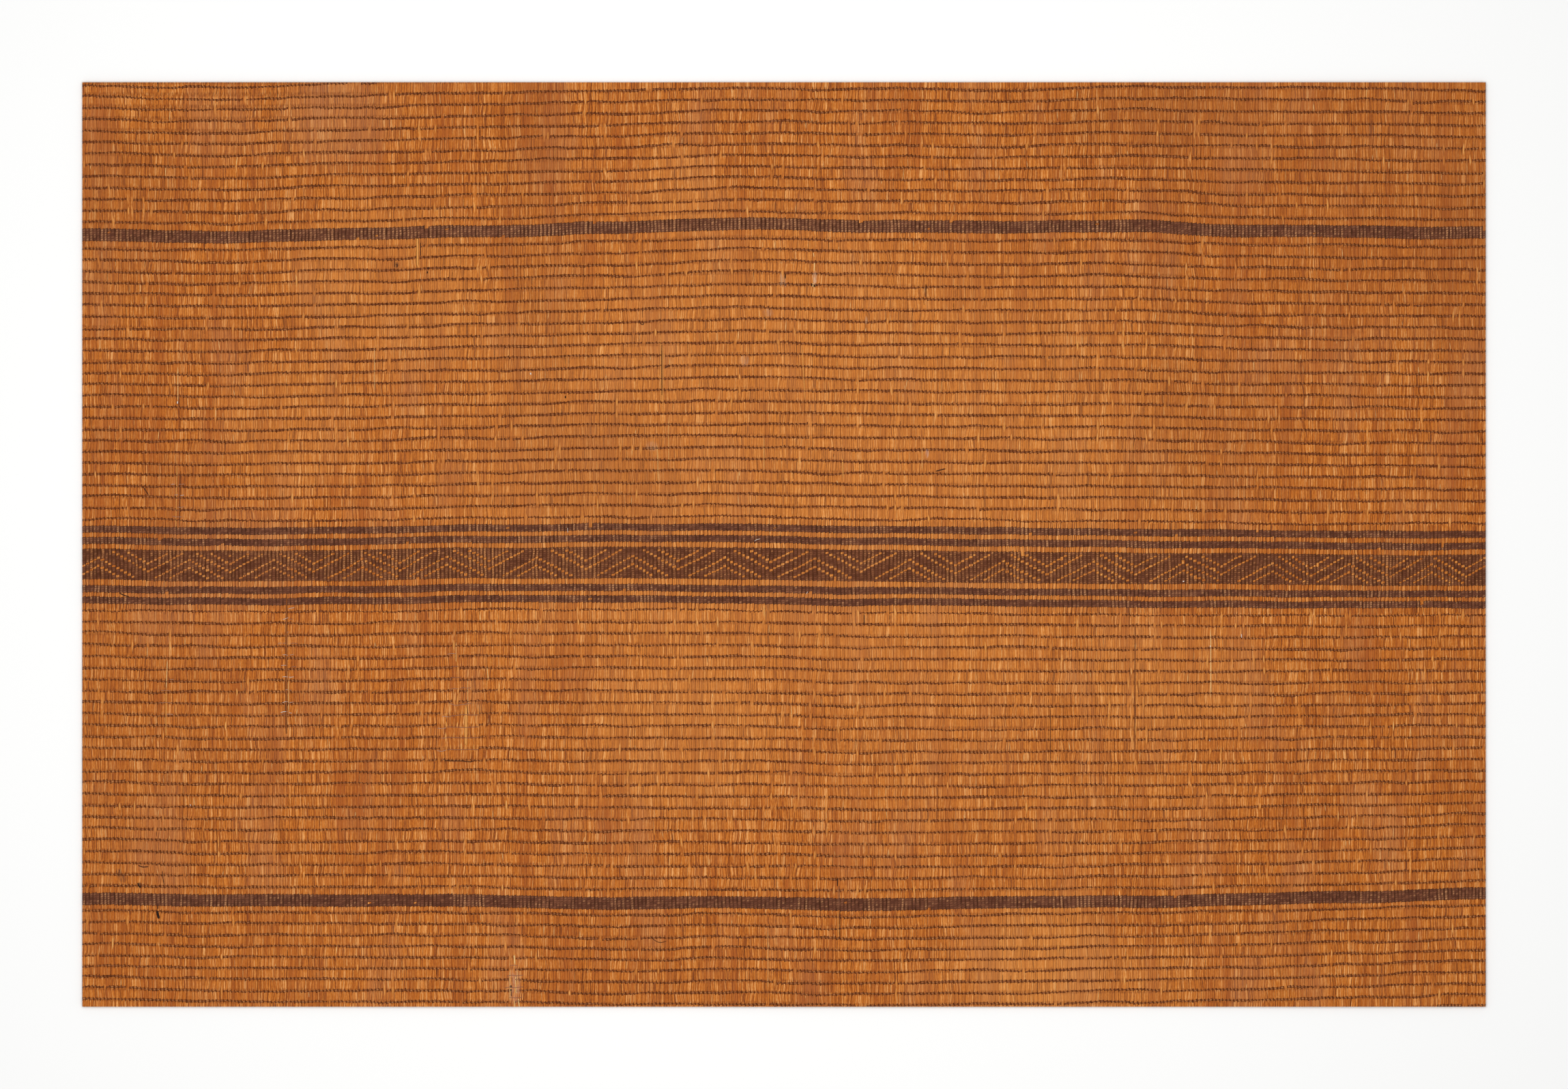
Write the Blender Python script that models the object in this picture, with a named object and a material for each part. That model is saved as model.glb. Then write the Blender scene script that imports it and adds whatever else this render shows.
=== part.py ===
"""A flat length of reed and leather mat, 1.00 m across its stalks and 0.66 m along them.

The stalks run along Y and lie so close together that they make one sheet. Leather thongs run
along X and hold them. In the open fields they are single rows, which stand up from the sheet as
low ridges. In the dark stripes they lie side by side, as strips that sit on the sheet. The thongs
were pulled in by hand, so no row is quite straight.

X points right, Y points away and Z points up. The origin is the middle of the underside.
"""

import math

import bmesh
import bpy

MM = 0.001

# Driving sizes of the mat
LENGTH = 1.000
WIDTH = 0.6587

# Heights of the sheet of stalks above the floor
STALK_TOP = 2.6 * MM
SEAT_TOP = 2.2 * MM

# One single row of thong in an open field
RIDGE_HEIGHT = 0.5 * MM
RIDGE_HALF = 0.8 * MM

# A stripe of thongs in its seat
STRIPE_CLEAR = 0.3 * MM
STRIPE_THICK = 0.7 * MM
STRIPE_GROOVE = 0.25 * MM
SEAT_SLOPE = 0.5 * MM

# The outermost lines stay this far from each other where a row runs off the cut edge
EDGE_STEP = 0.3 * MM

# Cells along X of every mesh here
COLUMNS = 16

# Each open field: the Y of its first and last row of thong, and how many rows it has
FIELDS = (
    (0.3314, 0.2340, 13),
    (0.2147, 0.0175, 25),
    (-0.0483, -0.2439, 25),
    (-0.2620, -0.3333, 10),
)

# Each stripe: its name, the Y of its middle, its rows of thong and the width of one row
STRIPES = (
    ("stripe_upper", 0.2246, 5, 1.60 * MM),
    ("line_upper_outer", 0.0100, 3, 1.46 * MM),
    ("line_upper_inner", 0.0017, 3, 1.46 * MM),
    ("stripe_figured", -0.0153, 15, 1.43 * MM),
    ("line_lower_inner", -0.0328, 3, 1.46 * MM),
    ("line_lower_outer", -0.0408, 3, 1.46 * MM),
    ("stripe_lower", -0.2535, 5, 1.60 * MM),
)

# How far the rows wander towards +Y, in millimetres, at places along X, on four levels of Y
DRIFT_LEVELS = (0.3233, 0.2246, -0.0153, -0.2535)
DRIFT = (
    # x, top rows, upper stripe, middle stripes, lower stripe
    (-0.500, -4.6, -3.9, 1.4, 1.4),
    (-0.400, -5.8, -5.3, 0.2, -0.4),
    (-0.310, -3.3, -3.4, 0.6, -0.3),
    (-0.220, -1.4, -1.7, 2.0, -0.3),
    (-0.125, -0.4, 1.0, 2.5, -2.1),
    (-0.030, 1.8, 4.2, 1.6, -1.5),
    (0.060, 1.1, 2.5, 0.0, -2.9),
    (0.155, 0.7, 1.5, -0.6, -1.8),
    (0.240, 2.5, 2.8, -1.8, -0.9),
    (0.335, 2.0, -1.2, -2.2, 0.5),
    (0.410, 2.0, -2.1, -2.8, 2.6),
    (0.500, -0.3, -2.7, -3.1, 4.9),
)

# Soft waves in the thickness of the mat, parallel to the stalks: height, wavelength, phase
SWELLS = (
    (0.18 * MM, 0.34, 0.6),
    (0.10 * MM, 0.21, 2.0),
)

STALK_COLOUR = (0.55, 0.21, 0.045)
THONG_COLOUR = (0.11, 0.045, 0.024)


def smooth_step(share):
    """From 0 to 1 with a level start and end."""
    return share * share * (3 - 2 * share)


def drift_at(x, level):
    """How far the rows on one level wander at x, in metres."""
    x = min(max(x, DRIFT[0][0]), DRIFT[-1][0])
    left, right = next(pair for pair in zip(DRIFT, DRIFT[1:]) if x <= pair[1][0])
    share = smooth_step((x - left[0]) / (right[0] - left[0]))
    return (left[level] + (right[level] - left[level]) * share) * MM


def drift(x, y):
    """How far the row whose straight place is y wanders at x, in metres."""
    if y >= DRIFT_LEVELS[0]:
        return drift_at(x, 1)
    for level, (high, low) in enumerate(zip(DRIFT_LEVELS, DRIFT_LEVELS[1:]), start=1):
        if y >= low:
            share = (high - y) / (high - low)
            return drift_at(x, level) * (1 - share) + drift_at(x, level + 1) * share
    return drift_at(x, len(DRIFT_LEVELS))


def swell(x):
    """How far the top of the mat rises at x with its soft waves."""
    return sum(
        height * math.sin(2 * math.pi * x / wavelength + phase)
        for height, wavelength, phase in SWELLS
    )


def field_rows(first, last, rows):
    """The straight Y of each row of thong in one open field."""
    pitch = (last - first) / (rows - 1)
    return [first + pitch * k for k in range(rows)]


def sheet_lines():
    """The lines that shape the top of the sheet, as (straight Y, height), from edge to edge."""
    lines = []
    for first, last, rows in FIELDS:
        for y in field_rows(first, last, rows):
            lines += [
                (y - RIDGE_HALF, STALK_TOP),
                (y, STALK_TOP + RIDGE_HEIGHT),
                (y + RIDGE_HALF, STALK_TOP),
            ]
    for _, middle, rows, pitch in STRIPES:
        foot = rows * pitch / 2 + STRIPE_CLEAR
        lines += [
            (middle - foot - SEAT_SLOPE, STALK_TOP),
            (middle - foot, SEAT_TOP),
            (middle + foot, SEAT_TOP),
            (middle + foot + SEAT_SLOPE, STALK_TOP),
        ]
    return [(-WIDTH / 2, STALK_TOP), *sorted(lines), (WIDTH / 2, STALK_TOP)]


def sheet_point(lines, x, k):
    """Where line k of the sheet lies at x, as (y, z). A row ends where it meets a cut edge."""
    straight, height = lines[k]
    from_edge = min(k, len(lines) - 1 - k)
    if from_edge == 0:
        return straight, height + swell(x)
    limit = WIDTH / 2 - EDGE_STEP * from_edge
    y = straight + drift(x, straight)
    if abs(y) > limit:
        return math.copysign(limit, y), STALK_TOP + swell(x)
    return y, height + swell(x)


def stripe_lines(middle, rows, pitch):
    """The grooves and crests that shape the top of one stripe, as (straight Y, height)."""
    low = middle - rows * pitch / 2
    crest = SEAT_TOP + STRIPE_CLEAR + STRIPE_THICK
    lines = [(low, crest - STRIPE_GROOVE)]
    for row in range(rows):
        lines.append((low + (row + 0.5) * pitch, crest))
        lines.append((low + (row + 1) * pitch, crest - STRIPE_GROOVE))
    return lines


def stripe_point(lines, x, k):
    """Where line k of a stripe lies at x, as (y, z)."""
    straight, height = lines[k]
    return straight + drift(x, straight), height + swell(x)


def raised_grid(lines, place):
    """A grid over the whole length, with one row of points for each line, raised into shape."""
    bm = bmesh.new()
    cells = len(lines) - 1
    half = LENGTH / 2
    bmesh.ops.create_grid(bm, x_segments=COLUMNS, y_segments=cells, size=half)
    for point in bm.verts:
        column = round((point.co.x / half + 1) / 2 * COLUMNS)
        k = round((point.co.y / half + 1) / 2 * cells)
        x = LENGTH * column / COLUMNS - half
        y, z = place(lines, x, k)
        point.co = (x, y, z)
    return bm


def rim_edges(bm, along_x):
    """The edges of the grid's two sides that run along X, or of the two that run along Y."""
    rim = [edge for edge in bm.edges if edge.is_boundary]
    column = LENGTH / COLUMNS
    return [
        edge
        for edge in rim
        if (abs(edge.verts[0].co.x - edge.verts[1].co.x) > column / 2) == along_x
    ]


def drop_walls(bm, edges, underside):
    """Walls from two opposite sides of a raised grid down to its underside, and the underside."""
    made = bmesh.ops.extrude_edge_only(bm, edges=edges)["geom"]
    points = {item for item in made if isinstance(item, bmesh.types.BMVert)}
    for point in points:
        point.co.z = underside(point.co.x)
    made_edges = [item for item in made if isinstance(item, bmesh.types.BMEdge)]
    lowest = [edge for edge in made_edges if points.issuperset(edge.verts)]
    bmesh.ops.bridge_loops(bm, edges=lowest)


def finish(name, colour, roughness):
    """A plain material of one colour."""
    material = bpy.data.materials.new(name)
    material.use_nodes = True
    shader = material.node_tree.nodes["Principled BSDF"]
    shader.inputs["Base Color"].default_value = (*colour, 1.0)
    shader.inputs["Roughness"].default_value = roughness
    shader.inputs["Metallic"].default_value = 0.0
    return material


def closed_piece(name, bm, material, collection, parent):
    """Caps what is still open, turns the faces outwards and puts the mesh in the scene."""
    rim = [edge for edge in bm.edges if edge.is_boundary]
    bmesh.ops.holes_fill(bm, edges=rim, sides=0)
    bmesh.ops.recalc_face_normals(bm, faces=bm.faces)
    mesh = bpy.data.meshes.new(name)
    bm.to_mesh(mesh)
    bm.free()
    mesh.materials.append(material)
    piece = bpy.data.objects.new(name, mesh)
    piece.parent = parent
    collection.objects.link(piece)
    return piece


def stalk_sheet(collection, parent):
    """The sheet of stalks, flat below, with its ridges of thong and the seats of the stripes."""
    bm = raised_grid(sheet_lines(), sheet_point)
    drop_walls(bm, rim_edges(bm, along_x=False), lambda x: 0.0)
    material = finish("stalk_sheet_finish", STALK_COLOUR, 0.55)
    return closed_piece("stalk_sheet", bm, material, collection, parent)


def thong_stripe(name, middle, rows, pitch, collection, parent):
    """One strip of thongs laid side by side, in its seat on the sheet."""
    bm = raised_grid(stripe_lines(middle, rows, pitch), stripe_point)
    drop_walls(bm, rim_edges(bm, along_x=True), lambda x: SEAT_TOP + STRIPE_CLEAR + swell(x))
    material = finish(name + "_finish", THONG_COLOUR, 0.62)
    return closed_piece(name, bm, material, collection, parent)


def clear_scene():
    for old in list(bpy.data.objects):
        bpy.data.objects.remove(old, do_unlink=True)


def main():
    clear_scene()
    collection = bpy.data.collections.new("reed_and_leather_mat")
    bpy.context.scene.collection.children.link(collection)
    mat = bpy.data.objects.new("mat", None)
    collection.objects.link(mat)
    stalk_sheet(collection, mat)
    for name, middle, rows, pitch in STRIPES:
        thong_stripe(name, middle, rows, pitch, collection, mat)


main()
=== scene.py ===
# %% [markdown]
# # A reed and leather mat, stalk by stalk
# The real mat is a sheet of dry reed stalks held side by side by rows of thin leather thong. The
# packed model gives its size and its heights. Everything that shows is built here: each stalk, each
# place where a thong crosses a stalk, the dark stripes, the zigzag of bare stalk and the old mends.

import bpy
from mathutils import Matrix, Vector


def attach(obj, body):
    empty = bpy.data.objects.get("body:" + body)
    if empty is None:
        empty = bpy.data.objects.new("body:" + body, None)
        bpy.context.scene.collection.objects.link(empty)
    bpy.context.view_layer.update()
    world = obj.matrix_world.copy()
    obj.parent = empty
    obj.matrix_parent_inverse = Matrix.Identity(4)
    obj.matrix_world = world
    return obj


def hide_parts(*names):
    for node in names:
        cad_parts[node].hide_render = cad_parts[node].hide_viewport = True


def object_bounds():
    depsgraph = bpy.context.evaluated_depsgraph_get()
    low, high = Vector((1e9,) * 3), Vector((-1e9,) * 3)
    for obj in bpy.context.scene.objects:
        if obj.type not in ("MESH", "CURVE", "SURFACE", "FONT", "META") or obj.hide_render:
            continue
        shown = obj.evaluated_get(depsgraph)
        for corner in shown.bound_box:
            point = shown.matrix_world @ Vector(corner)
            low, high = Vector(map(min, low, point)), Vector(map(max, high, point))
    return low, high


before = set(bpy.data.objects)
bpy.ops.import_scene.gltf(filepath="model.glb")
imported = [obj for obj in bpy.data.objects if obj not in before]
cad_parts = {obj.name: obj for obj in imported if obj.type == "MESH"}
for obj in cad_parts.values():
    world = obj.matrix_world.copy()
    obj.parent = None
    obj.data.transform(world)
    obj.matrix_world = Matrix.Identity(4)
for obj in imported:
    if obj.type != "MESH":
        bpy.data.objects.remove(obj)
SOLID_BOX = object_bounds()
print("solids from", [round(v, 4) for v in SOLID_BOX[0]], "to", [round(v, 4) for v in SOLID_BOX[1]])

# %% [markdown]
# Blender keeps lengths in metres, and a mat is easier to think of in millimetres. So the sizes below
# are written in millimetres times MM. NumPy works on whole tables of numbers at once, which is what
# makes forty thousand crossings quick to build.

# %% Units
import math

import bpy
import numpy as np

MM = 0.001
LOW, HIGH = SOLID_BOX
LENGTH = HIGH.x - LOW.x
WIDTH = HIGH.y - LOW.y
print(f"mat {LENGTH:.3f} m across its stalks and {WIDTH:.3f} m along them")

# %% [markdown]
# The photograph looks straight down at the mat, which fills nine tenths of the picture. A camera
# close by would show the sides of the mat spread out, so this one stands far off with a long lens.
# Its distance follows from the lens: the width it sees grows with the distance.

# %% Camera
PICTURE_WIDTH = 2298
MAT_IN_PICTURE = 2057
LENS = 200.0
SENSOR = 36.0


def aim_down():
    """A long-lens camera over the middle of the mat, high enough to see it as the photograph does."""
    seen = LENGTH * PICTURE_WIDTH / MAT_IN_PICTURE
    data = bpy.data.cameras.new("camera")
    data.lens = LENS
    data.sensor_width = SENSOR
    data.clip_end = 100
    camera = bpy.data.objects.new("camera", data)
    camera.location = (0, 0, HIGH.z + seen * LENS / SENSOR)
    bpy.context.scene.collection.objects.link(camera)
    bpy.context.scene.camera = camera
    return camera


camera = aim_down()
print(f"camera {camera.location.z:.2f} m above the floor")

# %% [markdown]
# Soft light from all round shows a flat mat evenly, and a wide panel above it adds the low gloss
# along each stalk. It hangs low enough for the middle of the mat to be a little brighter than its
# ends. Colours are shown as they are mixed, with no film curve, so that they can be matched.

# %% Light
SKY_STRENGTH = 0.50
PANEL_POWER = 24.0
PANEL_SIZE = 1.6
PANEL_PLACE = (-0.10, 0.08, 1.8)


def paint_sky():
    """An even white sky all round."""
    world = bpy.data.worlds.new("studio")
    world.use_nodes = True
    world.node_tree.nodes["Background"].inputs["Color"].default_value = (1, 1, 1, 1)
    world.node_tree.nodes["Background"].inputs["Strength"].default_value = SKY_STRENGTH
    bpy.context.scene.world = world


def hang_panel():
    """A wide soft panel of light over the mat, turned to its middle and unseen by the camera."""
    data = bpy.data.lights.new("panel", "AREA")
    data.energy = PANEL_POWER
    data.size = PANEL_SIZE
    panel = bpy.data.objects.new("panel", data)
    across, along, up = PANEL_PLACE
    panel.location = PANEL_PLACE
    panel.rotation_euler = (-math.atan2(along, up), math.atan2(across, up), 0)
    panel.visible_camera = False
    bpy.context.scene.collection.objects.link(panel)


bpy.context.scene.view_settings.view_transform = "Standard"
paint_sky()
hang_panel()
print("sky", SKY_STRENGTH, "and a panel of", PANEL_POWER, "W")

# %% [markdown]
# Colours are given as the numbers 0 to 255 that a screen shows. Blender's shaders want the
# amount of light instead, which is another scale, so one function turns the first into the second.
# The floor is the first thing painted with it: plain, pale, and a hair below the mat.

# %% Colours and the floor
FLOOR_SIZE = 14.0
FLOOR_DROP = 0.05 * MM
FLOOR_COLOUR = (250, 250, 249)


def paint(red, green, blue):
    """A screen colour as the amounts of light that a shader wants."""
    shares = [value / 255 for value in (red, green, blue)]
    light = [v / 12.92 if v <= 0.04045 else ((v + 0.055) / 1.055) ** 2.4 for v in shares]
    return (*light, 1.0)


def new_finish(name, roughness, shine):
    """A new material, and the tree and the shader to build it in."""
    material = bpy.data.materials.new(name)
    material.use_nodes = True
    shader = material.node_tree.nodes["Principled BSDF"]
    shader.inputs["Roughness"].default_value = roughness
    shader.inputs["Specular IOR Level"].default_value = shine
    return material, material.node_tree, shader


def lay_floor():
    """A wide flat floor just under the mat."""
    bpy.ops.mesh.primitive_plane_add(size=FLOOR_SIZE, location=(0, 0, -FLOOR_DROP))
    floor = bpy.context.object
    floor.name = "floor"
    material, _, shader = new_finish("floor_paint", 0.9, 0.5)
    shader.inputs["Base Color"].default_value = paint(*FLOOR_COLOUR)
    floor.data.materials.append(material)


lay_floor()
print("floor", FLOOR_SIZE, "m wide")

# %% [markdown]
# Nothing in handwork repeats exactly. Most unevenness here comes from one helper: it draws random
# heights on a coarse grid and blends smoothly between them, like a relief map. The seed makes it the
# same each time, and the grid repeats only after 64 cells, which is further than the mat reaches.
# Blender's noise textures do this too, but only inside a material.

# %% Unevenness
GRID = 64


def eased(share):
    """From 0 to 1 with a level start and end."""
    return share * share * (3 - 2 * share)


def relief(x, y, seed, cell_x, cell_y):
    """Smooth random heights from -1 to 1 over the plane, with hills about as far apart as the cells."""
    heights = np.random.default_rng(seed).uniform(-1, 1, (GRID, GRID))
    across, along = x / cell_x, y / cell_y
    i, j = np.floor(across).astype(int), np.floor(along).astype(int)
    s, t = eased(across - i), eased(along - j)
    near = heights[i % GRID, j % GRID] * (1 - t) + heights[i % GRID, (j + 1) % GRID] * t
    far = heights[(i + 1) % GRID, j % GRID] * (1 - t) + heights[(i + 1) % GRID, (j + 1) % GRID] * t
    return near * (1 - s) + far * s


def reliefs(x, y, layers):
    """Several reliefs on top of each other, each given as height, seed and the size of its cells."""
    return sum(height * relief(x, y, *layer) for height, *layer in layers)


print("heights at five places:", relief(np.arange(5) * 0.7, np.zeros(5), 1, 1.0, 1.0).round(2))

# %% [markdown]
# The rows of thong were pulled in by hand. They wander by a few millimetres, the rows of one level
# nearly together. The solids hold how far, in a short table, and the same table is repeated here, so
# that each row of crossings lies on its ridge or stripe of the solids.

# %% How the rows wander
DRIFT_LEVELS = np.array((0.3233, 0.2246, -0.0153, -0.2535))
DRIFT = np.array((
    # x, top rows, upper stripe, middle stripes, lower stripe
    (-0.500, -4.6, -3.9, 1.4, 1.4),
    (-0.400, -5.8, -5.3, 0.2, -0.4),
    (-0.310, -3.3, -3.4, 0.6, -0.3),
    (-0.220, -1.4, -1.7, 2.0, -0.3),
    (-0.125, -0.4, 1.0, 2.5, -2.1),
    (-0.030, 1.8, 4.2, 1.6, -1.5),
    (0.060, 1.1, 2.5, 0.0, -2.9),
    (0.155, 0.7, 1.5, -0.6, -1.8),
    (0.240, 2.5, 2.8, -1.8, -0.9),
    (0.335, 2.0, -1.2, -2.2, 0.5),
    (0.410, 2.0, -2.1, -2.8, 2.6),
    (0.500, -0.3, -2.7, -3.1, 4.9),
))
SWELLS = ((0.18 * MM, 0.34, 0.6), (0.10 * MM, 0.21, 2.0))


def drift_at(x, level):
    """How far the rows on one level wander at x, in metres."""
    x = np.clip(x, DRIFT[0, 0], DRIFT[-1, 0])
    left = np.clip(np.searchsorted(DRIFT[:, 0], x) - 1, 0, len(DRIFT) - 2)
    share = eased((x - DRIFT[left, 0]) / (DRIFT[left + 1, 0] - DRIFT[left, 0]))
    return (DRIFT[left, level] * (1 - share) + DRIFT[left + 1, level] * share) * MM


def drift(x, y):
    """How far the row whose straight place is y wanders at x, for tables of x and y of one shape."""
    wander = np.stack([drift_at(x, level) for level in range(1, len(DRIFT_LEVELS) + 1)])
    place = np.interp(-y, -DRIFT_LEVELS, np.arange(len(DRIFT_LEVELS)))
    above = np.minimum(place.astype(int), len(DRIFT_LEVELS) - 2)
    share = place - above
    high, low = (np.take_along_axis(wander, level[None], 0)[0] for level in (above, above + 1))
    return high * (1 - share) + low * share


def swell(x):
    """How far the top of the mat rises at x with its soft waves."""
    return sum(height * np.sin(2 * np.pi * x / length + phase) for height, length, phase in SWELLS)


print("the upper stripe wanders", (drift_at(np.linspace(-0.5, 0.5, 5), 2) / MM).round(1), "mm")

# %% [markdown]
# ## The stalks
# The stalks are 2.5 to 2.75 mm wide on average, a little finer towards the right, and no two are
# alike. Their widths are drawn one by one, then scaled so that together they fill the mat.

# %% Where each stalk lies
STALK_PITCH = (  # x in metres, mean width of a stalk there in millimetres
    (-0.50, 2.66),
    (-0.20, 2.70),
    (0.00, 2.74),
    (0.20, 2.70),
    (0.35, 2.58),
    (0.50, 2.50),
)
STALK_UNEVEN = 0.13


def stalk_edges():
    """The X of every gap between two stalks, from the left edge of the mat to the right one."""
    chance = np.random.default_rng(11)
    stations, widths = np.array(STALK_PITCH).T
    drawn, reached = [], -LENGTH / 2
    while reached < LENGTH / 2:
        drawn.append(np.interp(reached, stations, widths) * MM)
        reached += drawn[-1]
    drawn = np.array(drawn) * (1 + STALK_UNEVEN * chance.uniform(-1, 1, len(drawn)))
    edges = np.concatenate([[0], np.cumsum(drawn)])
    return edges / edges[-1] * LENGTH - LENGTH / 2


EDGES = stalk_edges()
STALK_X = (EDGES[1:] + EDGES[:-1]) / 2
STALK_W = EDGES[1:] - EDGES[:-1]
STALKS = len(STALK_X)
print(STALKS, "stalks,", (STALK_W.min() / MM).round(2), "to", (STALK_W.max() / MM).round(2), "mm wide")

# %% [markdown]
# A stalk or a thong is a bent tube. This helper takes the rings of points of many tubes at once and
# joins them into one mesh: side faces between each ring and the next, and a cap at each end. A curve
# with a bevel would do it for one stalk, but one object for each of forty thousand crossings would be
# far too slow.

# %% Faces of many tubes
def tube_faces(tubes, rings, sides):
    """The corners of all side faces and of all caps of many like tubes."""
    first = np.arange(tubes)[:, None, None] * rings * sides
    ring = np.arange(rings - 1)[None, :, None] * sides
    here = np.arange(sides)[None, None, :]
    after = (here + 1) % sides
    low, high = first + ring, first + ring + sides
    walls = np.stack([low + here, low + after, high + after, high + here], -1).reshape(-1, 4)
    start = np.arange(tubes)[:, None] * rings * sides
    first_caps = start + np.arange(sides)[::-1]
    last_caps = start + (rings - 1) * sides + np.arange(sides)
    return walls, np.concatenate([first_caps, last_caps])


print("a tube of 3 rings of 4 points has", len(tube_faces(1, 3, 4)[0]), "side faces and 2 caps")

# %% [markdown]
# To carry its colours into another program, a mesh needs a flat map: a place on a square picture for
# each of its faces. Blender can unwrap a mesh by itself, but with ten thousand small pieces most of
# the picture would be margin. These tubes are all alike, so each gets one cell of a grid, in which its
# sides lie unrolled next to each other, with its two caps above and below. Hidden sides get less room.

# %% A flat map for many tubes
MARGIN = 0.03
CAP_ROOM = 0.10
CAP_REACH = 0.40


def unrolled(tubes, ring_places, shares, columns):
    """Places on the square map for every face corner, in the order that tube_faces gives."""
    sides, rings = len(shares), len(ring_places)
    lines = math.ceil(tubes / columns)
    u = np.concatenate([[0], np.cumsum(shares)]) / sum(shares) * (1 - 2 * MARGIN) + MARGIN
    v = CAP_ROOM + (1 - 2 * CAP_ROOM) * np.array(ring_places)
    shape = (rings - 1, sides, 4)
    wall_u = np.broadcast_to(np.stack([u[:-1], u[1:], u[1:], u[:-1]], -1), shape)
    wall_v = np.broadcast_to(np.stack([v[:-1], v[:-1], v[1:], v[1:]], -1)[:, None], shape)
    walls = np.stack([wall_u, wall_v], -1).reshape(-1, 2)
    turn = 2 * np.pi * np.arange(sides) / sides
    cap = np.stack([0.5 + CAP_REACH * np.cos(turn), CAP_ROOM * CAP_REACH * np.sin(turn)], -1)
    cell = np.stack([np.arange(tubes) % columns, np.arange(tubes) // columns], -1)[:, None]
    places = [walls, cap[::-1] + (0, CAP_ROOM / 2), cap + (0, 1 - CAP_ROOM / 2)]
    return np.concatenate([((cell + part) / (columns, lines)).reshape(-1, 2) for part in places])


print("the map of a square tube starts at", unrolled(1, (0, 1), (1, 1, 1, 1), 1)[0].round(2).tolist())

# %% [markdown]
# Now the mesh itself. Numbers that go with each point, such as how worn it is, are kept as
# attributes, which a material can read. One number may stand for a whole tube, ring or corner, and is
# spread over all its points here. The map is named as the export expects it.

# %% One mesh of many tubes
MAP_NAME = "OFBake"


def tube_mesh(name, points, shares, columns, attributes, ring_places=None):
    """One piece from an array of tubes: tube, ring, point of the ring, then X, Y and Z."""
    tubes, rings, sides, _ = points.shape
    if ring_places is None:
        ring_places = np.linspace(0, 1, rings)
    walls, caps = tube_faces(tubes, rings, sides)
    corners = np.concatenate([walls.ravel(), caps.ravel()]).astype(np.int32)
    sizes = np.concatenate([np.full(len(walls), 4), np.full(len(caps), sides)])
    starts = np.concatenate([[0], np.cumsum(sizes)[:-1]]).astype(np.int32)
    mesh = bpy.data.meshes.new(name)
    mesh.vertices.add(tubes * rings * sides)
    mesh.vertices.foreach_set("co", points.astype(np.float32).ravel())
    mesh.loops.add(len(corners))
    mesh.loops.foreach_set("vertex_index", corners)
    mesh.polygons.add(len(sizes))
    mesh.polygons.foreach_set("loop_start", starts)
    flat = unrolled(tubes, ring_places, shares, columns).astype(np.float32)
    mesh.uv_layers.new(name=MAP_NAME).uv.foreach_set("vector", flat.ravel())
    for key, values in attributes.items():
        vector = np.ndim(values) == points.ndim
        full = np.broadcast_to(values, points.shape if vector else points.shape[:3])
        made = mesh.attributes.new(key, "FLOAT_VECTOR" if vector else "FLOAT", "POINT")
        made.data.foreach_set("vector" if vector else "value", full.astype(np.float32).ravel())
    mesh.update(calc_edges=True)
    mesh.shade_smooth()
    piece = bpy.data.objects.new(name, mesh)
    bpy.context.scene.collection.objects.link(piece)
    return piece


def triangles(piece):
    """How many triangles a piece has."""
    return sum(len(face.vertices) - 2 for face in piece.data.polygons)


print("meshes carry a map named", MAP_NAME)

# %% [markdown]
# ## The rows of thong
# The solids give each row its straight place: four open fields of single rows, and seven stripes where
# the rows lie side by side. The lists are needed now, because the rows bend the stalks.

# %% Fields and stripes
FIELDS = (  # name, Y of the first and the last row, how many rows
    ("rows_top", 0.3314, 0.2340, 13),
    ("rows_upper", 0.2147, 0.0175, 25),
    ("rows_lower", -0.0483, -0.2439, 25),
    ("rows_bottom", -0.2620, -0.3333, 10),
)
STRIPES = (  # the solid it stands for, Y of its middle, rows, width of a row
    ("stripe_upper", 0.2246, 5, 1.60 * MM),
    ("line_upper_outer", 0.0100, 3, 1.46 * MM),
    ("line_upper_inner", 0.0017, 3, 1.46 * MM),
    ("stripe_figured", -0.0153, 15, 1.43 * MM),
    ("line_lower_inner", -0.0328, 3, 1.46 * MM),
    ("line_lower_outer", -0.0408, 3, 1.46 * MM),
    ("stripe_lower", -0.2535, 5, 1.60 * MM),
)
OPEN = [name for name, *_ in FIELDS]
STRAIGHT = {name: np.linspace(first, last, rows) for name, first, last, rows in FIELDS}
for name, middle, rows, pitch in STRIPES:
    STRAIGHT[name] = middle + pitch * ((rows - 1) / 2 - np.arange(rows))
print(sum(len(rows) for rows in STRAIGHT.values()), "rows of thong")

# %% [markdown]
# Between two rows a stalk is free, and at each row the thong pulls it a little to one side. So every
# stalk runs in short straight lengths that lean left or right. To say where, the rows are counted
# upwards: a place between rows 7 and 8 gets a number between 7 and 8. A few sine waves, with another
# start for each row, give the pull. Sines are plain enough to be worked out again by the material.

# %% How each row pulls the stalks aside
COUNT_ACROSS_STRIPE = {"rows_lower": 2, "rows_upper": 8, "rows_top": 2}
PULLS = (  # reach in metres, wavelength in metres, how the start changes from row to row
    (0.13 * MM, 0.014, 1.7),
    (0.22 * MM, 0.034, 2.9),
    (0.30 * MM, 0.083, 0.9),
)
PULL_HELD = 10 * MM  # the cut edges stay straight, and the pull grows over this width


def count_rows():
    """The straight Y of each open row from the bottom up, and its number."""
    heights, numbers = [], []
    for name in reversed(OPEN):
        first = numbers[-1] + COUNT_ACROSS_STRIPE[name] if numbers else 0
        heights += list(STRAIGHT[name][::-1])
        numbers += list(range(first, first + len(STRAIGHT[name])))
    return np.array(heights), np.array(numbers, float)


ROW_Y, ROW_NUMBER = count_rows()


def row_count(straight_y):
    """The number of the row at a straight Y, with parts of one between two rows."""
    return np.interp(straight_y, ROW_Y, ROW_NUMBER)


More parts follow.
